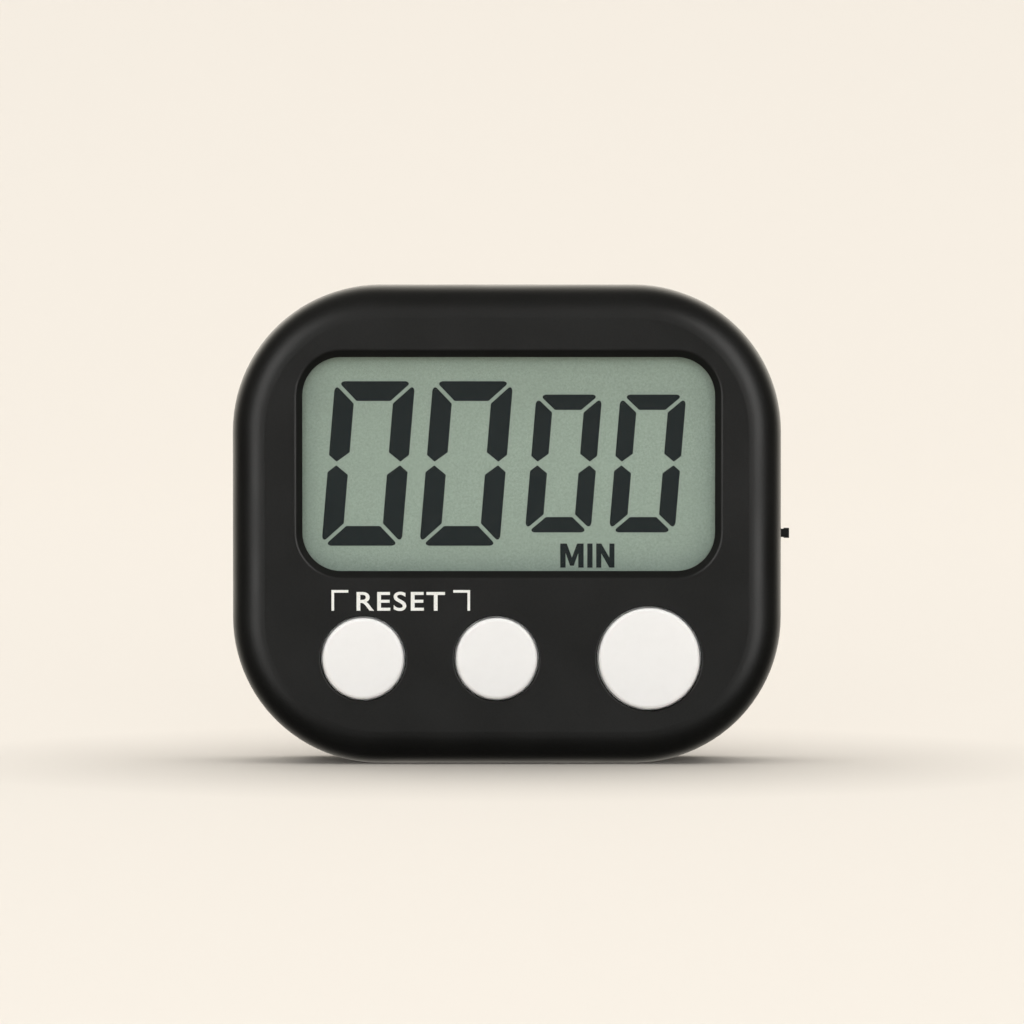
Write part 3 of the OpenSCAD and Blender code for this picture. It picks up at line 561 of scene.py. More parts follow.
# %% Unit on the display
# Outline of each letter in a square of side one, and its width in millimetres
LETTERS = [([(0, 0), (0, 1), (0.28, 1), (0.5, 0.42), (0.72, 1), (1, 1), (1, 0), (0.77, 0), (0.77, 0.6),
             (0.58, 0.08), (0.42, 0.08), (0.23, 0.6), (0.23, 0)], 3.2),
           ([(0, 0), (0, 1), (1, 1), (1, 0)], 0.72),
           ([(0, 0), (0, 1), (0.28, 1), (0.72, 0.42), (0.72, 1), (1, 1), (1, 0), (0.72, 0), (0.28, 0.58),
             (0.28, 0)], 2.5)]
UNIT_HEIGHT = 3.3 * MM
UNIT_LEFT = 7.3 * MM
UNIT_BASE = 26.75 * MM
LETTER_GAP = 0.5 * MM
unit = bmesh.new()
unit_y = bars_high.y - BAR_INSET
left = UNIT_LEFT
for outline, width in LETTERS:
    unit.faces.new([unit.verts.new((left + x * width * MM, unit_y, UNIT_BASE + z * UNIT_HEIGHT))
                    for x, z in outline])
    left += width * MM + LETTER_GAP
thicken(unit, INK)
make_piece("unit_legend", unit, lcd_dark)
print("lettering done")

# %% [markdown]
# ## Softened edges
#
# A moulded or stamped edge is never a knife edge. It has a radius of a tenth of a millimetre or
# two, and that radius is what catches the light. The smaller CAD parts leave such radii out,
# because nothing fits to them. So a part with sharp edges is copied, its flat faces are joined up again, and its edges are
# bevelled. A bevel only takes material away, so every fit stays clear. Weighted normals keep the
# flat faces flat next to the rounded edges.

# %% Helper for softened copies
def softened(name, node, finish, radius, body="case"):
    bm = copied(node)
    sharp = [edge for edge in bm.edges if edge.calc_face_angle(0) > CREASE]
    bmesh.ops.bevel(bm, geom=sharp, offset=radius, segments=3, profile=0.5, affect="EDGES",
                    clamp_overlap=True)
    piece = make_piece(name, bm, finish, body, [node])
    piece.modifiers.new("flat_faces", "WEIGHTED_NORMAL").keep_sharp = True
    return piece


# %% Door, stand and lever
door_black = moulded_black("door_black", (17, 17, 16), 0.42, 0.26 * MM)
stand_black = moulded_black("stand_black", (16, 16, 15), 0.38, 0.18 * MM)
lever_black = moulded_black("lever_black", (12, 12, 12), 0.36, 0.12 * MM)
softened("rear_stand", "stand", stand_black, 0.25 * MM, "stand")
softened("rear_door", "battery_door", door_black, 0.15 * MM, "battery_door")
softened("slide_lever", "switch_lever", lever_black, 0.1 * MM, "switch_slider")
print("moving black parts done")

# %% [markdown]
# ## Bare metals
#
# Contacts, screws, the spring, the crystal's can and the magnets are plated metal. All of them come
# from one recipe, each with its own tint, roughness and direction. A plated strip is rolled or
# drawn, so its fine scratches are noise stretched along that direction, and handling leaves it
# duller in patches.

# %% Recipe for plated metal
def plated(name, tint, roughness, grain=0.25 * MM, stretch=(1, 1, 1)):
    finish = Finish(name, metallic=1.0)
    scratches = finish.speckle(grain, detail=3, stretch=stretch)
    dull = finish.speckle(3 * MM, detail=3)
    finish.feed("Base Color", finish.mix(finish.band(dull, 0.3, 0.7), linear(*tint),
                                         scaled_by(tint, 0.78)))
    finish.sheen(scratches, roughness, roughness + 0.14)
    finish.bump(scratches, 0.006 * MM, 0.35)
    return finish


zinc = plated("zinc_steel", (186, 187, 190), 0.3, stretch=(1, 6, 1))
nickel = plated("nickel_strip", (206, 204, 196), 0.22, stretch=(1, 1, 9))
tinned = plated("tinned_metal", (200, 202, 204), 0.24, 0.5 * MM)
magnet_nickel = plated("nickel_magnet", (204, 204, 201), 0.18, 0.35 * MM, stretch=(7, 1, 1))
spring_steel = plated("spring_nickel", (198, 197, 192), 0.2, 0.12 * MM)
brass = plated("brass_sheet", (214, 178, 98), 0.26, stretch=(10, 1, 1))
for side in ("left", "right"):
    softened(side + "_magnet_disc", side + "_magnet", magnet_nickel, 0.3 * MM)
for end in ("positive", "negative"):
    softened(end + "_plate", end + "_contact", nickel, 0.05 * MM)
softened("switch_can", "switch_housing", tinned, 0.12 * MM)
softened("sounder_disc", "buzzer_disc", brass, 0.06 * MM)
print("sheet metal done")

# %% [markdown]
# ## Screws
#
# The screws have a cross recess and a pan head in the CAD model, but a smooth shank. A screw that
# cuts its own way into plastic has a coarse, sharp thread. It is one narrow ridge, swept along a
# helix round the shank.

# %% Cut the screw threads
THREAD_PITCH = 0.55 * MM
THREAD_RIDGE = 0.09 * MM
THREAD_STEPS = 16
SHANK_RADIUS = 0.95 * MM
HEAD_HEIGHTS = {"case_screw": 1.4 * MM, "board_screw": 1.2 * MM}


def helix(origin, radius, start, end, pitch, steps):
    """Points of a helix round an axis along Y, through origin, from one depth to another."""
    count = round(abs(end - start) / pitch * steps)
    return [(origin.x + radius * math.cos(2 * math.pi * k / steps),
             start + (end - start) * k / count,
             origin.z + radius * math.sin(2 * math.pi * k / steps)) for k in range(count + 1)]


def loose_boxes(node):
    """The boxes of the separate solids of a CAD part, from left to right."""
    bm = copied(node)
    rest, boxes = set(bm.verts), []
    while rest:
        queue, found = [rest.pop()], []
        while queue:
            vert = queue.pop()
            found.append(vert.co.copy())
            near = {edge.other_vert(vert) for edge in vert.link_edges} & rest
            rest -= near
            queue += near
        boxes.append([Vector(pick(point[k] for point in found) for k in range(3))
                      for pick in (min, max)])
    bm.free()
    return sorted(boxes, key=lambda box: tuple(box[0]))


def threads(name, node, head_height):
    """Sweeps a thread along the shank of each screw of a CAD part."""
    bm = bmesh.new()
    for low, high in loose_boxes(node):
        middle = (low + high) / 2
        path = helix(middle, SHANK_RADIUS, high.y - head_height - THREAD_PITCH, low.y + THREAD_PITCH,
                     THREAD_PITCH, THREAD_STEPS)
        swept(bm, path, THREAD_RIDGE, sides=4)
    return make_piece(name, bm, zinc)


for screw, head_height in HEAD_HEIGHTS.items():
    threads(screw + "_threads", screw + "s", head_height)
    dress(zinc, screw + "s")
print("threads on", sum(len(loose_boxes(screw + "s")) for screw in HEAD_HEIGHTS), "screws")

# %% [markdown]
# ## Wires and the spring
#
# A wire in the CAD model is a string of straight tubes. Its real line is a smooth curve through the
# same points. The points are read back from the CAD mesh, ring by ring from one end cap, and a
# curve through them is swept with a round section. The battery's spring is made the same way.

# %% Read a tube's line back from its mesh
def centreline(node):
    """The middles of the rings of a tube, from one end to the other, and its radius."""
    bm = copied(node)
    end_cap = max(bm.faces, key=lambda face: len(face.verts))
    ring = set(end_cap.verts)
    seen, middles = set(ring), []
    while ring:
        middles.append(sum((vert.co for vert in ring), Vector()) / len(ring))
        ring = {edge.other_vert(vert) for vert in ring for edge in vert.link_edges} - seen
        seen |= ring
    radius = max((vert.co - middles[0]).length for vert in end_cap.verts)
    bm.free()
    return middles, radius


def curved(points, steps):
    """A smooth curve through points, with a number of steps from each to the next."""
    line = [points[0] * 2 - points[1], *points, points[-1] * 2 - points[-2]]
    path = []
    for a, b, c, d in zip(line, line[1:], line[2:], line[3:]):
        for k in range(steps):
            t = k / steps
            path.append(0.5 * (2 * b + (c - a) * t + (2 * a - 5 * b + 4 * c - d) * t ** 2
                               + (3 * b - a - 3 * c + d) * t ** 3))
    return path + [points[-1]]


# %% Draw the wires and wind the spring
def vinyl(name, tint):
    finish = Finish(name, ior=1.5)
    finish.feed("Base Color", finish.mix(finish.speckle(1.1 * MM, detail=3), linear(*tint),
                                         scaled_by(tint, 0.72)))
    finish.sheen(finish.speckle(0.4 * MM), 0.36, 0.48)
    finish.bump(finish.speckle(0.2 * MM), 0.01 * MM, 0.2)
    return finish


WIRE_STEPS = 6
SPRING_STEPS = 4
red_vinyl = vinyl("red_wire", (178, 34, 40))
black_vinyl = vinyl("black_wire", (30, 30, 31))
wire_ends = []  # where each wire meets the board
for colour, finish in (("red", red_vinyl), ("black", black_vinyl)):
    for purpose in ("battery", "buzzer"):
        node = f"{colour}_{purpose}_lead"
        points, radius = centreline(node)
        bm = swept(bmesh.new(), curved(points, WIRE_STEPS), radius, sides=10)
        make_piece(f"{colour}_{purpose}_wire", bm, finish, replaces=[node])
        wire_ends.append(min(points[0], points[-1], key=lambda point: point.y))

points, radius = centreline("battery_spring")
bm = swept(bmesh.new(), curved(points, SPRING_STEPS), radius, sides=10)
make_piece("contact_spring", bm, spring_steel, replaces=["battery_spring"])
print("spring of", len(points), "rings,", len(wire_ends), "wires")

# %% [markdown]
# ## Battery cell
#
# A cell of this size is a steel can in a printed foil sleeve. The sleeve is shrunk over both rims,
# and the bare steel shows inside them: a flat disc at one end and a stamped cap with its nub at the
# other. Both are lathe work. The foil has a plain two-tone print, which is painted by position
# along the cell, and a metallic sheen.

# %% Make the cell
cell_low, cell_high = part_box("battery_cell")
cell_radius = (cell_high.z - cell_low.z) / 2
cell_length = cell_high.x - cell_low.x
CELL_NUB = 0.8 * MM
CELL_RIM = 0.35 * MM
CELL_LIP = 1.05 * MM
NUB_RADIUS = 1.9 * MM
COLLAR = 13 * MM
COLLAR_LINE = 14.2 * MM
cell_end = Vector((cell_low.x, (cell_low.y + cell_high.y) / 2, (cell_low.z + cell_high.z) / 2))
shoulder = cell_length - CELL_NUB
lip = cell_radius - CELL_LIP

foil = Finish("cell_foil", metallic=0.55)
along = foil.axes(foil.place())[0]
collar = foil.band(along, cell_high.x - COLLAR - 0.1 * MM, cell_high.x - COLLAR)
collar_line = foil.band(abs(along - (cell_high.x - COLLAR_LINE)), 0.25 * MM, 0.3 * MM, 1.0, 0.0)
ink = foil.mix(foil.speckle(1.2 * MM, detail=3), linear(48, 86, 76), linear(60, 98, 87))
ink = foil.mix(collar, ink, linear(196, 158, 96))
foil.feed("Base Color", foil.mix(collar_line, ink, linear(214, 212, 204)))
foil.sheen(foil.speckle(0.8 * MM, stretch=(6, 1, 1)), 0.24, 0.38)
foil.bump(foil.speckle(2.2 * MM, stretch=(4, 1, 1)), 0.03 * MM, 0.15)

sleeve = [(0, CELL_RIM), (lip, CELL_RIM), (lip + 0.1 * MM, 0.05 * MM), (lip + 0.6 * MM, 0)]
sleeve += [(cell_radius - CELL_RIM * (1 - math.sin(a)), CELL_RIM * (1 - math.cos(a)))
           for a in (math.radians(15 * k) for k in range(1, 7))]
sleeve += [(radius, shoulder - height) for radius, height in reversed(sleeve)]
make_piece("cell_sleeve", turned(bmesh.new(), sleeve, cell_end, (1, 0, 0), sides=72), foil,
           replaces=["battery_cell"])

disc = [(0, 0.1 * MM), (lip - 1.2 * MM, 0.1 * MM), (lip - 0.9 * MM, 0.22 * MM), (lip, 0.25 * MM),
        (lip, CELL_RIM), (0, CELL_RIM)]
cap = [(0, shoulder - CELL_RIM), (lip, shoulder - CELL_RIM), (lip, shoulder - 0.25 * MM),
       (NUB_RADIUS + 0.5 * MM, shoulder - 0.2 * MM), (NUB_RADIUS + 0.1 * MM, shoulder - 0.1 * MM),
       (NUB_RADIUS, shoulder + 0.1 * MM), (NUB_RADIUS, cell_length - 0.25 * MM),
       (NUB_RADIUS - 0.08 * MM, cell_length - 0.08 * MM), (NUB_RADIUS - 0.3 * MM, cell_length),
       (0, cell_length)]
ends = bmesh.new()
for lathed in (disc, cap):
    turned(ends, lathed, cell_end, (1, 0, 0), sides=64)
make_piece("cell_caps", ends, nickel)
print("cell", round(cell_length / MM, 1), "mm long")

# %% [markdown]
# ## Circuit board
#
# The board is glass fibre under a green solder mask. The copper tracks under the mask show as paler
# lines that stand a little proud. Modelling them would take hundreds of thin strips that nobody
# touches, so they are painted: two sets of parallel lines, one up and one across, that a slow noise
# switches between. The pads that are touched are real: carbon discs under the keys and a row of
# gilt fingers for the display's strip.

# %% Paint the board and lay its pads
TRACK_PITCH = 1.3 * MM
mask = Finish("solder_mask", ior=1.5, coat_weight=0.2)
across, _, upward = mask.axes(mask.place())
region = mask.band(mask.speckle(9 * MM, detail=0), 0.49, 0.51)
uprights = mask.band(across.wave(TRACK_PITCH), 0.78, 0.86)
levels = mask.band(upward.wave(TRACK_PITCH), 0.78, 0.86)
tracks = uprights * region + levels * (1 - region)
weave = mask.speckle(0.35 * MM, detail=1)
green = mask.mix(weave, linear(24, 74, 41), linear(30, 84, 48))
mask.feed("Base Color", mask.mix(tracks, green, linear(52, 118, 66)))
mask.sheen(mask.speckle(5 * MM), 0.26, 0.38)
mask.bump(tracks + weave * 0.15, 0.03 * MM, 0.6)
dress(mask, "circuit_board")

carbon = Finish("carbon_ink", specular=0.3)
carbon.shades(carbon.speckle(0.15 * MM, detail=3), (22, 22, 24), (44, 44, 46))
carbon.sheen(carbon.speckle(0.3 * MM), 0.6, 0.78)
carbon.bump(carbon.speckle(0.1 * MM), 0.01 * MM, 0.4)

KEYS = ("minute", "second", "start")
PAD_RADIUS = 2.4 * MM
PAD_INK = 0.03 * MM
board_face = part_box("circuit_board")[0].y
pads = bmesh.new()
for key in KEYS:
    middle = centre(key + "_pill")
    pad = [(0, 0), (PAD_RADIUS, 0), (PAD_RADIUS, 0.02 * MM), (PAD_RADIUS - 0.04 * MM, PAD_INK),
           (0, PAD_INK)]
    turned(pads, pad, (middle.x, board_face, middle.z), (0, -1, 0), sides=40)
    softened(key + "_contact", key + "_pill", carbon, 0.08 * MM, key + "_key")
make_piece("key_pads", pads, carbon)

gilt = plated("gilt_copper", (222, 184, 108), 0.2)
strip_low, strip_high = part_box("zebra_strip")
FINGERS = 36
FINGER_START, FINGER_END = 0.3 * MM, 1.1 * MM
FINGER_LOW, FINGER_HIGH = strip_low.z - 0.6 * MM, strip_low.z - 0.05 * MM
fingers = bmesh.new()
for k in range(FINGERS):
    left = strip_low.x + (strip_high.x - strip_low.x) * k / FINGERS
    strip(fingers, left + FINGER_START, left + FINGER_END, FINGER_LOW, FINGER_HIGH, board_face)
make_piece("display_fingers", fingers, gilt)
print("board with", len(KEYS), "pads and", FINGERS, "fingers")

# %% [markdown]
# ## Parts on the board
#
# The chip hides under a drop of black epoxy, which sets as a low smooth dome. The small blocks are
# ceramic with tinned ends, the transistor has three bent legs, and the crystal is a drawn can on
# two wires. Each is built inside the box of its plain CAD part: blocks with rounded edges, and lathe
# work for what is round.

# %% Epoxy drop, crystal and solder
board_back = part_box("circuit_board")[1].y
INTO = (0, 1, 0)

epoxy = Finish("black_epoxy", ior=1.52)
flow = epoxy.speckle(1.6 * MM, detail=2)
epoxy.shades(flow, (13, 13, 14), (22, 22, 23))
epoxy.sheen(flow, 0.16, 0.3)
epoxy.bump(flow, 0.08 * MM, 0.25)
blob_low, blob_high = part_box("chip_blob")
blob_radius = (blob_high.x - blob_low.x) / 2
blob_height = blob_high.y - board_back
blob_middle = centre("chip_blob")
drop = [(blob_radius * math.cos(a), blob_height * math.sin(a))
        for a in (math.radians(7.5 * k) for k in range(12))]
drop = turned(bmesh.new(), [(0, 0), *drop, (0, blob_height)],
              (blob_middle.x, board_back, blob_middle.z), INTO, sides=56)
make_piece("epoxy_drop", drop, epoxy, replaces=["chip_blob"])

can_low, can_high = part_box("quartz_crystal")
can_radius = (can_high.z - can_low.z) / 2
can_length = can_high.x - can_low.x
can_start = Vector((can_low.x, (can_low.y + can_high.y) / 2, (can_low.z + can_high.z) / 2))
drawn = [(0, 0), (can_radius, 0), (can_radius, 0.3 * MM), (can_radius * 0.93, 0.38 * MM),
         (can_radius * 0.93, can_length - 0.5 * MM), (can_radius * 0.8, can_length - 0.15 * MM),
         (can_radius * 0.5, can_length), (0, can_length)]
CRYSTAL_LEG = 0.35 * MM
CRYSTAL_WIRE = 0.13 * MM
BEND = ((-0.3, 0, 0), (-0.7, -0.1, 0), (-0.85, -0.4, 0))
can = turned(bmesh.new(), drawn, can_start, (1, 0, 0), sides=32)
feet = []
for side in (-1, 1):
    leg = can_start + Vector((0, 0, side * CRYSTAL_LEG))
    bend = [leg + Vector(step) * MM for step in BEND]
    foot = Vector((bend[-1].x, board_back, leg.z))
    swept(can, curved([leg, *bend, foot], 3), CRYSTAL_WIRE, sides=8)
    feet.append(foot)
make_piece("crystal_can", can, tinned, replaces=["quartz_crystal"])

LEAD_JOINT = 0.9 * MM
CRYSTAL_JOINT = 0.32 * MM
solder = bmesh.new()
joints = [(end, LEAD_JOINT) for end in wire_ends] + [(foot, CRYSTAL_JOINT) for foot in feet]
for end, size in joints:
    fillet = [(size, 0), (size * 0.7, size * 0.2), (size * 0.5, size * 0.5), (size * 0.42, size * 0.8)]
    turned(solder, [(0, 0)] + fillet + [(0, size * 0.85)], (end.x, board_back, end.z), INTO, sides=20)
make_piece("solder_joints", solder, tinned)
print("solder joints:", len(joints))


# %% Chips and the transistor
def block(bm, low, high, radius):
    """Adds a box with rounded edges."""
    place = Matrix.Translation((low + high) / 2) @ Matrix.Diagonal((*(high - low), 1))
    verts = bmesh.ops.create_cube(bm, size=1, matrix=place)["verts"]
    edges = list({edge for vert in verts for edge in vert.link_edges})
    bmesh.ops.bevel(bm, geom=edges, offset=radius, segments=3, profile=0.5, affect="EDGES")


def speckled(name, dark, pale, size, roughness):
    """A fired or pressed powder: two shades of grains under a dull skin."""
    finish = Finish(name)
    grains = finish.speckle(size, detail=4)
    finish.shades(finish.band(grains, 0.35, 0.65), dark, pale)
    finish.sheen(grains, roughness, roughness + 0.12)
    finish.bump(grains, 0.01 * MM, 0.3)
    return finish


CAP_SHARE = 0.24
CAP_ROUND = 0.07 * MM
BODY_ROUND = 0.04 * MM
SKIN = Vector((0.03, 0.03, 0.03)) * MM
finishes = {"chip_capacitors": speckled("tan_ceramic", (150, 112, 70), (176, 138, 96), 0.12 * MM, 0.5),
            "chip_resistors": speckled("resistor_glaze", (16, 16, 18), (30, 30, 33), 0.2 * MM, 0.3)}
for node, finish in finishes.items():
    bodies, caps = bmesh.new(), bmesh.new()
    for low, high in loose_boxes(node):
        size = high - low
        way = Vector((1, 0, 0)) if size.x > size.z else Vector((0, 0, 1))
        length = way * size.dot(way)
        step = length * CAP_SHARE
        block(bodies, low + step * 0.5 + SKIN, high - step * 0.5 - SKIN, BODY_ROUND)
        block(caps, low, high - length + step, CAP_ROUND)
        block(caps, low + length - step, high, CAP_ROUND)
    make_piece(node + "_bodies", bodies, finish, replaces=[node])
    make_piece(node + "_ends", caps, tinned)

# Two legs below the body and one above, each a flat toe and an upright shin
REACH = 0.25 * MM
LIFT = 0.1 * MM
LEG = Vector((0.2, 0.06, 0.2)) * MM
SHIN = 0.5 * MM
SHIN_BACK = 0.15 * MM
LEG_ROUND = 0.03 * MM
low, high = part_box("drive_transistor")
moulding, legs = bmesh.new(), bmesh.new()
block(moulding, low + Vector((0, LIFT, REACH)), high - Vector((0, 0, REACH)), 0.08 * MM)
for share, side in ((0.2, -1), (0.8, -1), (0.5, 1)):
    outside = low.z if side < 0 else high.z
    toe = Vector((low.x + (high.x - low.x) * share, low.y, outside - side * LEG.z))
    block(legs, toe - Vector((LEG.x, 0, LEG.z)), toe + Vector((LEG.x, 2 * LEG.y, LEG.z)), LEG_ROUND)
    knee = toe - Vector((0, 0, side * SHIN_BACK))
    block(legs, knee - Vector((LEG.x, 0, LEG.y)), knee + Vector((LEG.x, SHIN, LEG.y)), LEG_ROUND)
make_piece("transistor_body", moulding, epoxy, replaces=["drive_transistor"])
make_piece("transistor_legs", legs, tinned)
print("chips and transistor done")

# %% [markdown]
# ## Boost coil
#
# The coil that drives the sounder is a drum of ferrite with enamelled copper wire wound round it.
# The drum is turned on a lathe, with its two flanges, and the winding is one wire swept along a
# helix, so every turn is there.

# %% Wind the coil
coil_low, coil_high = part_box("boost_coil")
coil_middle = centre("boost_coil")
drum_radius = (coil_high.x - coil_low.x) / 2
drum_height = coil_high.y - coil_low.y
FLANGE = 0.8 * MM
EASE = 0.12 * MM
COPPER_WIRE = 0.11 * MM
CORE_RADIUS = 1.4 * MM
WINDING_RADIUS = 2.3 * MM
UNDER_TURNS = 2.1 * MM  # a plain tube under the wire closes the gaps between its turns
TURN_STEPS = 24
coil_foot = (coil_middle.x, coil_low.y, coil_middle.z)
ferrite = speckled("ferrite", (38, 35, 33), (58, 54, 51), 0.18 * MM, 0.45)
drum = [(0, 0), (drum_radius - EASE, 0), (drum_radius, EASE), (drum_radius, FLANGE - EASE),
        (drum_radius - EASE, FLANGE), (CORE_RADIUS, FLANGE)]
drum += [(radius, drum_height - height) for radius, height in reversed(drum)]
make_piece("coil_drum", turned(bmesh.new(), drum, coil_foot, INTO, sides=56), ferrite,
           replaces=["boost_coil"])

copper = plated("enamelled_copper", (176, 96, 52), 0.24, 0.15 * MM)
turns = helix(coil_middle, WINDING_RADIUS - COPPER_WIRE, coil_low.y + FLANGE + COPPER_WIRE,
              coil_high.y - FLANGE - COPPER_WIRE, 2.05 * COPPER_WIRE, TURN_STEPS)
winding = swept(bmesh.new(), turns, COPPER_WIRE, sides=8)
tube = [(0, FLANGE), (UNDER_TURNS, FLANGE), (UNDER_TURNS, drum_height - FLANGE),
        (0, drum_height - FLANGE)]
turned(winding, tube, coil_foot, INTO, sides=48)
make_piece("coil_winding", winding, copper)
print("coil of", round(len(turns) / TURN_STEPS), "turns")

# %% [markdown]
# ## Rubber, foam and ceramic
#
# The keys press on three domes of one milky silicone mat. A dome buckles when it is pressed, so
# each dome is a piece of its own with a mesh of its own, and the flat sheet between them stays
# where it is. The display is joined to the board by a rubber strip of thin layers, which carry
# current and block it in turn: a stripe along the strip shows them.

# %% Make the keypad
silicone = Finish("clear_silicone", ior=1.41)
milk = silicone.speckle(2.5 * MM, detail=3)
silicone.shades(milk, (206, 206, 202), (224, 224, 219))
silicone.sheen(silicone.speckle(0.5 * MM), 0.4, 0.52)
silicone.bump(silicone.speckle(0.12 * MM), 0.01 * MM, 0.3)

mat_low, mat_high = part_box("keypad_mat")
SHEET = 0.8 * MM
sheet_face = mat_high.y - SHEET
sheet = copied("keypad_mat")
bmesh.ops.bisect_plane(sheet, geom=[*sheet.verts, *sheet.edges, *sheet.faces],
                       plane_co=(0, sheet_face + 0.02 * MM, 0), plane_no=(0, -1, 0), clear_outer=True)
rim = [edge for edge in sheet.edges if edge.is_boundary]
bmesh.ops.triangle_fill(sheet, edges=rim, use_beauty=True, normal=(0, -1, 0))
make_piece("keypad_sheet", sheet, silicone, replaces=["keypad_mat"])

dome_height = sheet_face - mat_low.y
DOME_FOOT = 4.1 * MM
DOME_TOP = 3.0 * MM
DOME_WALL = 0.5 * MM
DOME_SHOULDER = 0.35 * MM
DOME_EDGE = 0.25 * MM
shape = [(0, DOME_WALL), (DOME_TOP - DOME_WALL, DOME_WALL), (DOME_FOOT, 0), (DOME_FOOT + DOME_WALL, 0),
         (DOME_TOP + DOME_SHOULDER, 2.0 * DOME_WALL), (DOME_TOP, 2.5 * DOME_WALL),
         (DOME_TOP, dome_height - DOME_EDGE), (DOME_TOP - 0.08 * MM, dome_height - 0.08 * MM),
         (DOME_TOP - DOME_EDGE, dome_height), (0, dome_height)]
for key in KEYS:
    middle = centre(key + "_pill")
    foot = Vector((middle.x, sheet_face, middle.z))
    dome = turned(bmesh.new(), shape, foot, (0, -1, 0))
    piece = make_piece(key + "_dome", dome, silicone)
    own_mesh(piece)
print("keypad with", len(KEYS), "domes")

# %% Strip, foam, tape and ceramic
LAYER = 0.18 * MM
layered = Finish("layered_rubber", specular=0.3)
across = layered.axes(layered.place())[0]
layers = layered.band(across.wave(LAYER), 0.35, 0.65)
layered.shades(layers, (74, 70, 72), (30, 28, 29))
layered.sheen(layered.speckle(0.3 * MM), 0.55, 0.7)
layered.bump(layers, 0.01 * MM, 0.3)
softened("display_strip", "zebra_strip", layered, 0.15 * MM)

foam = Finish("grey_foam", specular=0.2)
pores = foam.cells(0.28 * MM)
foam.shades(foam.band(pores, 0.1, 0.6), (34, 34, 36), (70, 70, 73))
foam.feed("Roughness", foam.band(pores, 0.1, 0.6, 0.95, 0.8))
foam.bump(pores, 0.12 * MM, 0.8)
softened("foam_strip", "foam_pad", foam, 0.12 * MM)

tape = Finish("black_tape", specular=0.3)
fibres = tape.speckle(0.2 * MM, detail=2, stretch=(5, 1, 1))
tape.shades(fibres, (20, 20, 20), (32, 32, 32))
tape.sheen(fibres, 0.6, 0.75)
tape.bump(fibres, 0.01 * MM, 0.3)
dress(tape, "window_tape")

white_ceramic = speckled("white_ceramic", (206, 202, 190), (228, 225, 214), 0.15 * MM, 0.4)
softened("sounder_ceramic", "buzzer_ceramic", white_ceramic, 0.04 * MM)
print("rubber and ceramic done")

# %% Check that nothing is left plain
hidden = {name for names in REPLACED.values() for name in names}
bare = sorted(set(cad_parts) - dressed - hidden)
print("CAD parts without a finish:", bare or "none")

# %% [markdown]
# ## Studio
#
# The timer stands on pale paper that curves up behind it, so that no horizon shows. Paper this
# evenly bright is hard to light with lamps alone, so part of its brightness is its own glow. The
# glow fades near the timer, where a real sheet would lie in its shadow. A black object is drawn by
# what it mirrors: two tall soft boxes in front, left and right, draw a pale line down each side of
# the body, and the room behind, brighter above than below, draws its rim.

# %% Build the paper sweep
def stage_piece(name, vertices, faces, finish):
    mesh = bpy.data.meshes.new(name)
    mesh.from_pydata(vertices, [], faces)
    mesh.polygons.foreach_set("use_smooth", [True] * len(faces))
    mesh.materials.append(finish.material)
    piece = bpy.data.objects.new(name, mesh)
    bpy.context.scene.collection.objects.link(piece)
    return piece


PAPER_TINT = (247, 240, 230)
PAPER = linear(*PAPER_TINT)
paper = Finish("studio_paper", roughness=0.9, specular=0.1, base_color=scaled_by(PAPER_TINT, 0.55),
               emission_strength=1.0)
east, north, _ = paper.axes(paper.place())
away = east.hypot(north)
glow = paper.band(away, 0.015, 0.082, 0.02, 0.22) + paper.band(away, 0.1, 1.6, 0.0, 0.05)
paper.feed("Emission Color", paper.scaled(PAPER, glow))

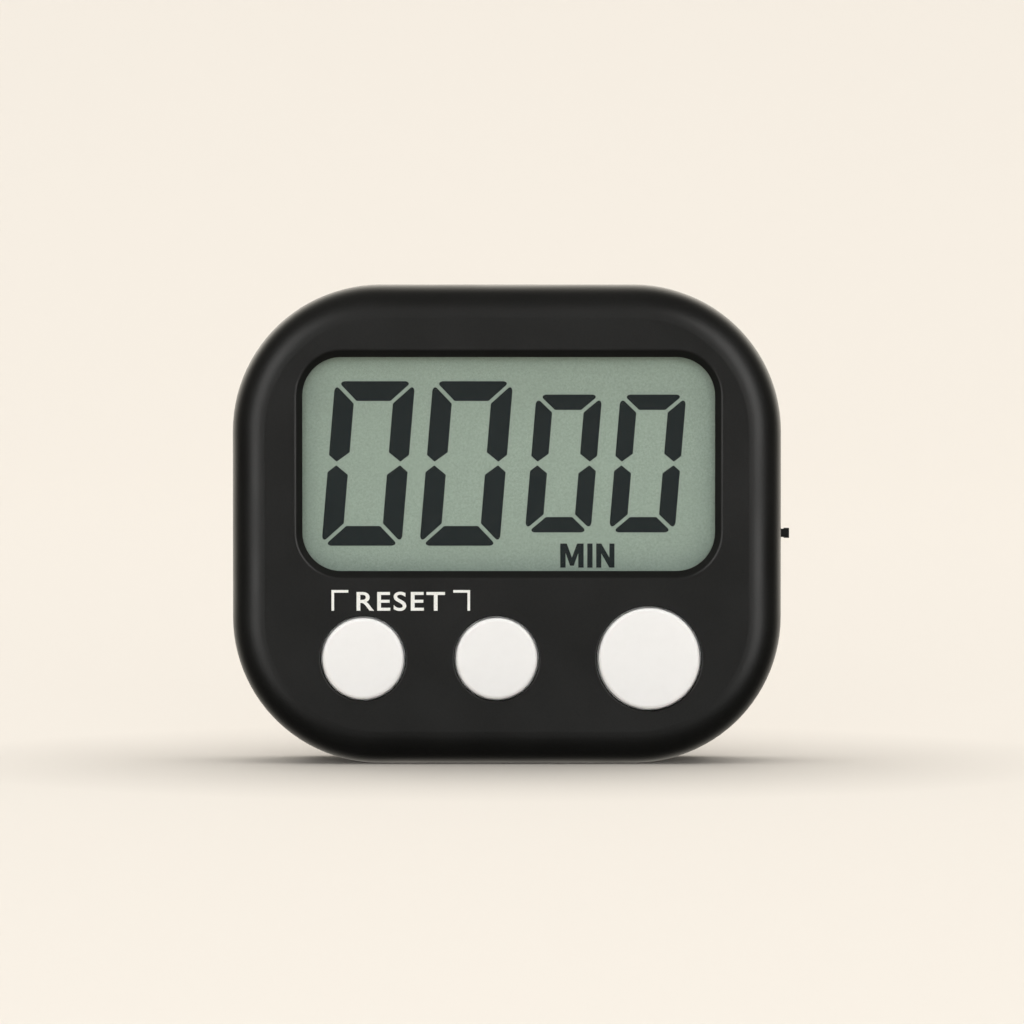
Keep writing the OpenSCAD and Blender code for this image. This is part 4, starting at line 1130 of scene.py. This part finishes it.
SWEEP_HALF = 3.0
SWEEP_FRONT = -2.5
SWEEP_BACK = 1.2
SWEEP_RADIUS = 1.0
SWEEP_TOP = 3.5
profile = [(SWEEP_FRONT, 0.0), (0.0, 0.0)]
profile += [(SWEEP_BACK + SWEEP_RADIUS * math.sin(a), SWEEP_RADIUS * (1 - math.cos(a)))
            for a in (math.radians(5 * i) for i in range(19))]
profile.append((SWEEP_BACK + SWEEP_RADIUS, SWEEP_TOP))
sweep_points = [(x, y, z) for y, z in profile for x in (-SWEEP_HALF, SWEEP_HALF)]
sweep_faces = [(2 * i, 2 * i + 1, 2 * i + 3, 2 * i + 2) for i in range(len(profile) - 1)]
sweep = stage_piece("floor", sweep_points, sweep_faces, paper)
sweep.visible_glossy = False


# %% Hang the lamps
def softbox(name, where, aim, width, height, power, colour=(1, 1, 1), mirrored=True):
    light = bpy.data.lights.new(name, "AREA")
    light.shape = "RECTANGLE"
    light.size, light.size_y = width, height
    light.energy = power
    light.color = colour
    lamp = bpy.data.objects.new(name, light)
    bpy.context.scene.collection.objects.link(lamp)
    lamp.location = where
    lamp.rotation_euler = (Vector(aim) - Vector(where)).to_track_quat("-Z", "Y").to_euler()
    lamp.visible_glossy = mirrored
    return lamp


# The overhead is nearly neutral, the fill cool and the strips warm; the strips only show as
# reflections
MIDDLE = (0, 0, 0.03)
softbox("overhead", (0, 0.8, 2.4), (0, 0.8, 0), 5.0, 4.6, 168, (1, 0.995, 0.985), mirrored=False)
softbox("front_fill", (0, -1.8, 0.35), MIDDLE, 1.0, 0.6, 13.6, (0.965, 0.985, 1), mirrored=False)
for side, power in ((-1, 6.65), (1, 7.35)):
    lamp = softbox("side_strip", (side * 0.69, -0.98, 0.25), MIDDLE, 0.62, 1.2, power, (1, 0.99, 0.97))
    lamp.visible_diffuse = False

# %% Light the room
ROOM_TINT = (1, 0.94, 0.83)
world = bpy.data.worlds.new("studio")
bpy.context.scene.world = world
world.use_nodes = True
room = Net(world.node_tree)
background = world.node_tree.nodes["Background"]
_, north, up = room.axes(room.node("ShaderNodeTexCoord", output="Generated"))
behind = room.band(north, 0.38, 0.82, 0.05, 2.1) * room.band(up, -0.3, 0.3, 0.45, 1.3)
seen = room.node("ShaderNodeLightPath", output="Is Camera Ray")
room_tone = room.mix(seen, room.scaled(ROOM_TINT, behind), PAPER)
room.join(room_tone, background.inputs["Color"])
background.inputs["Strength"].default_value = 1.0
bpy.context.scene.view_settings.view_transform = "Standard"
print("studio ready")
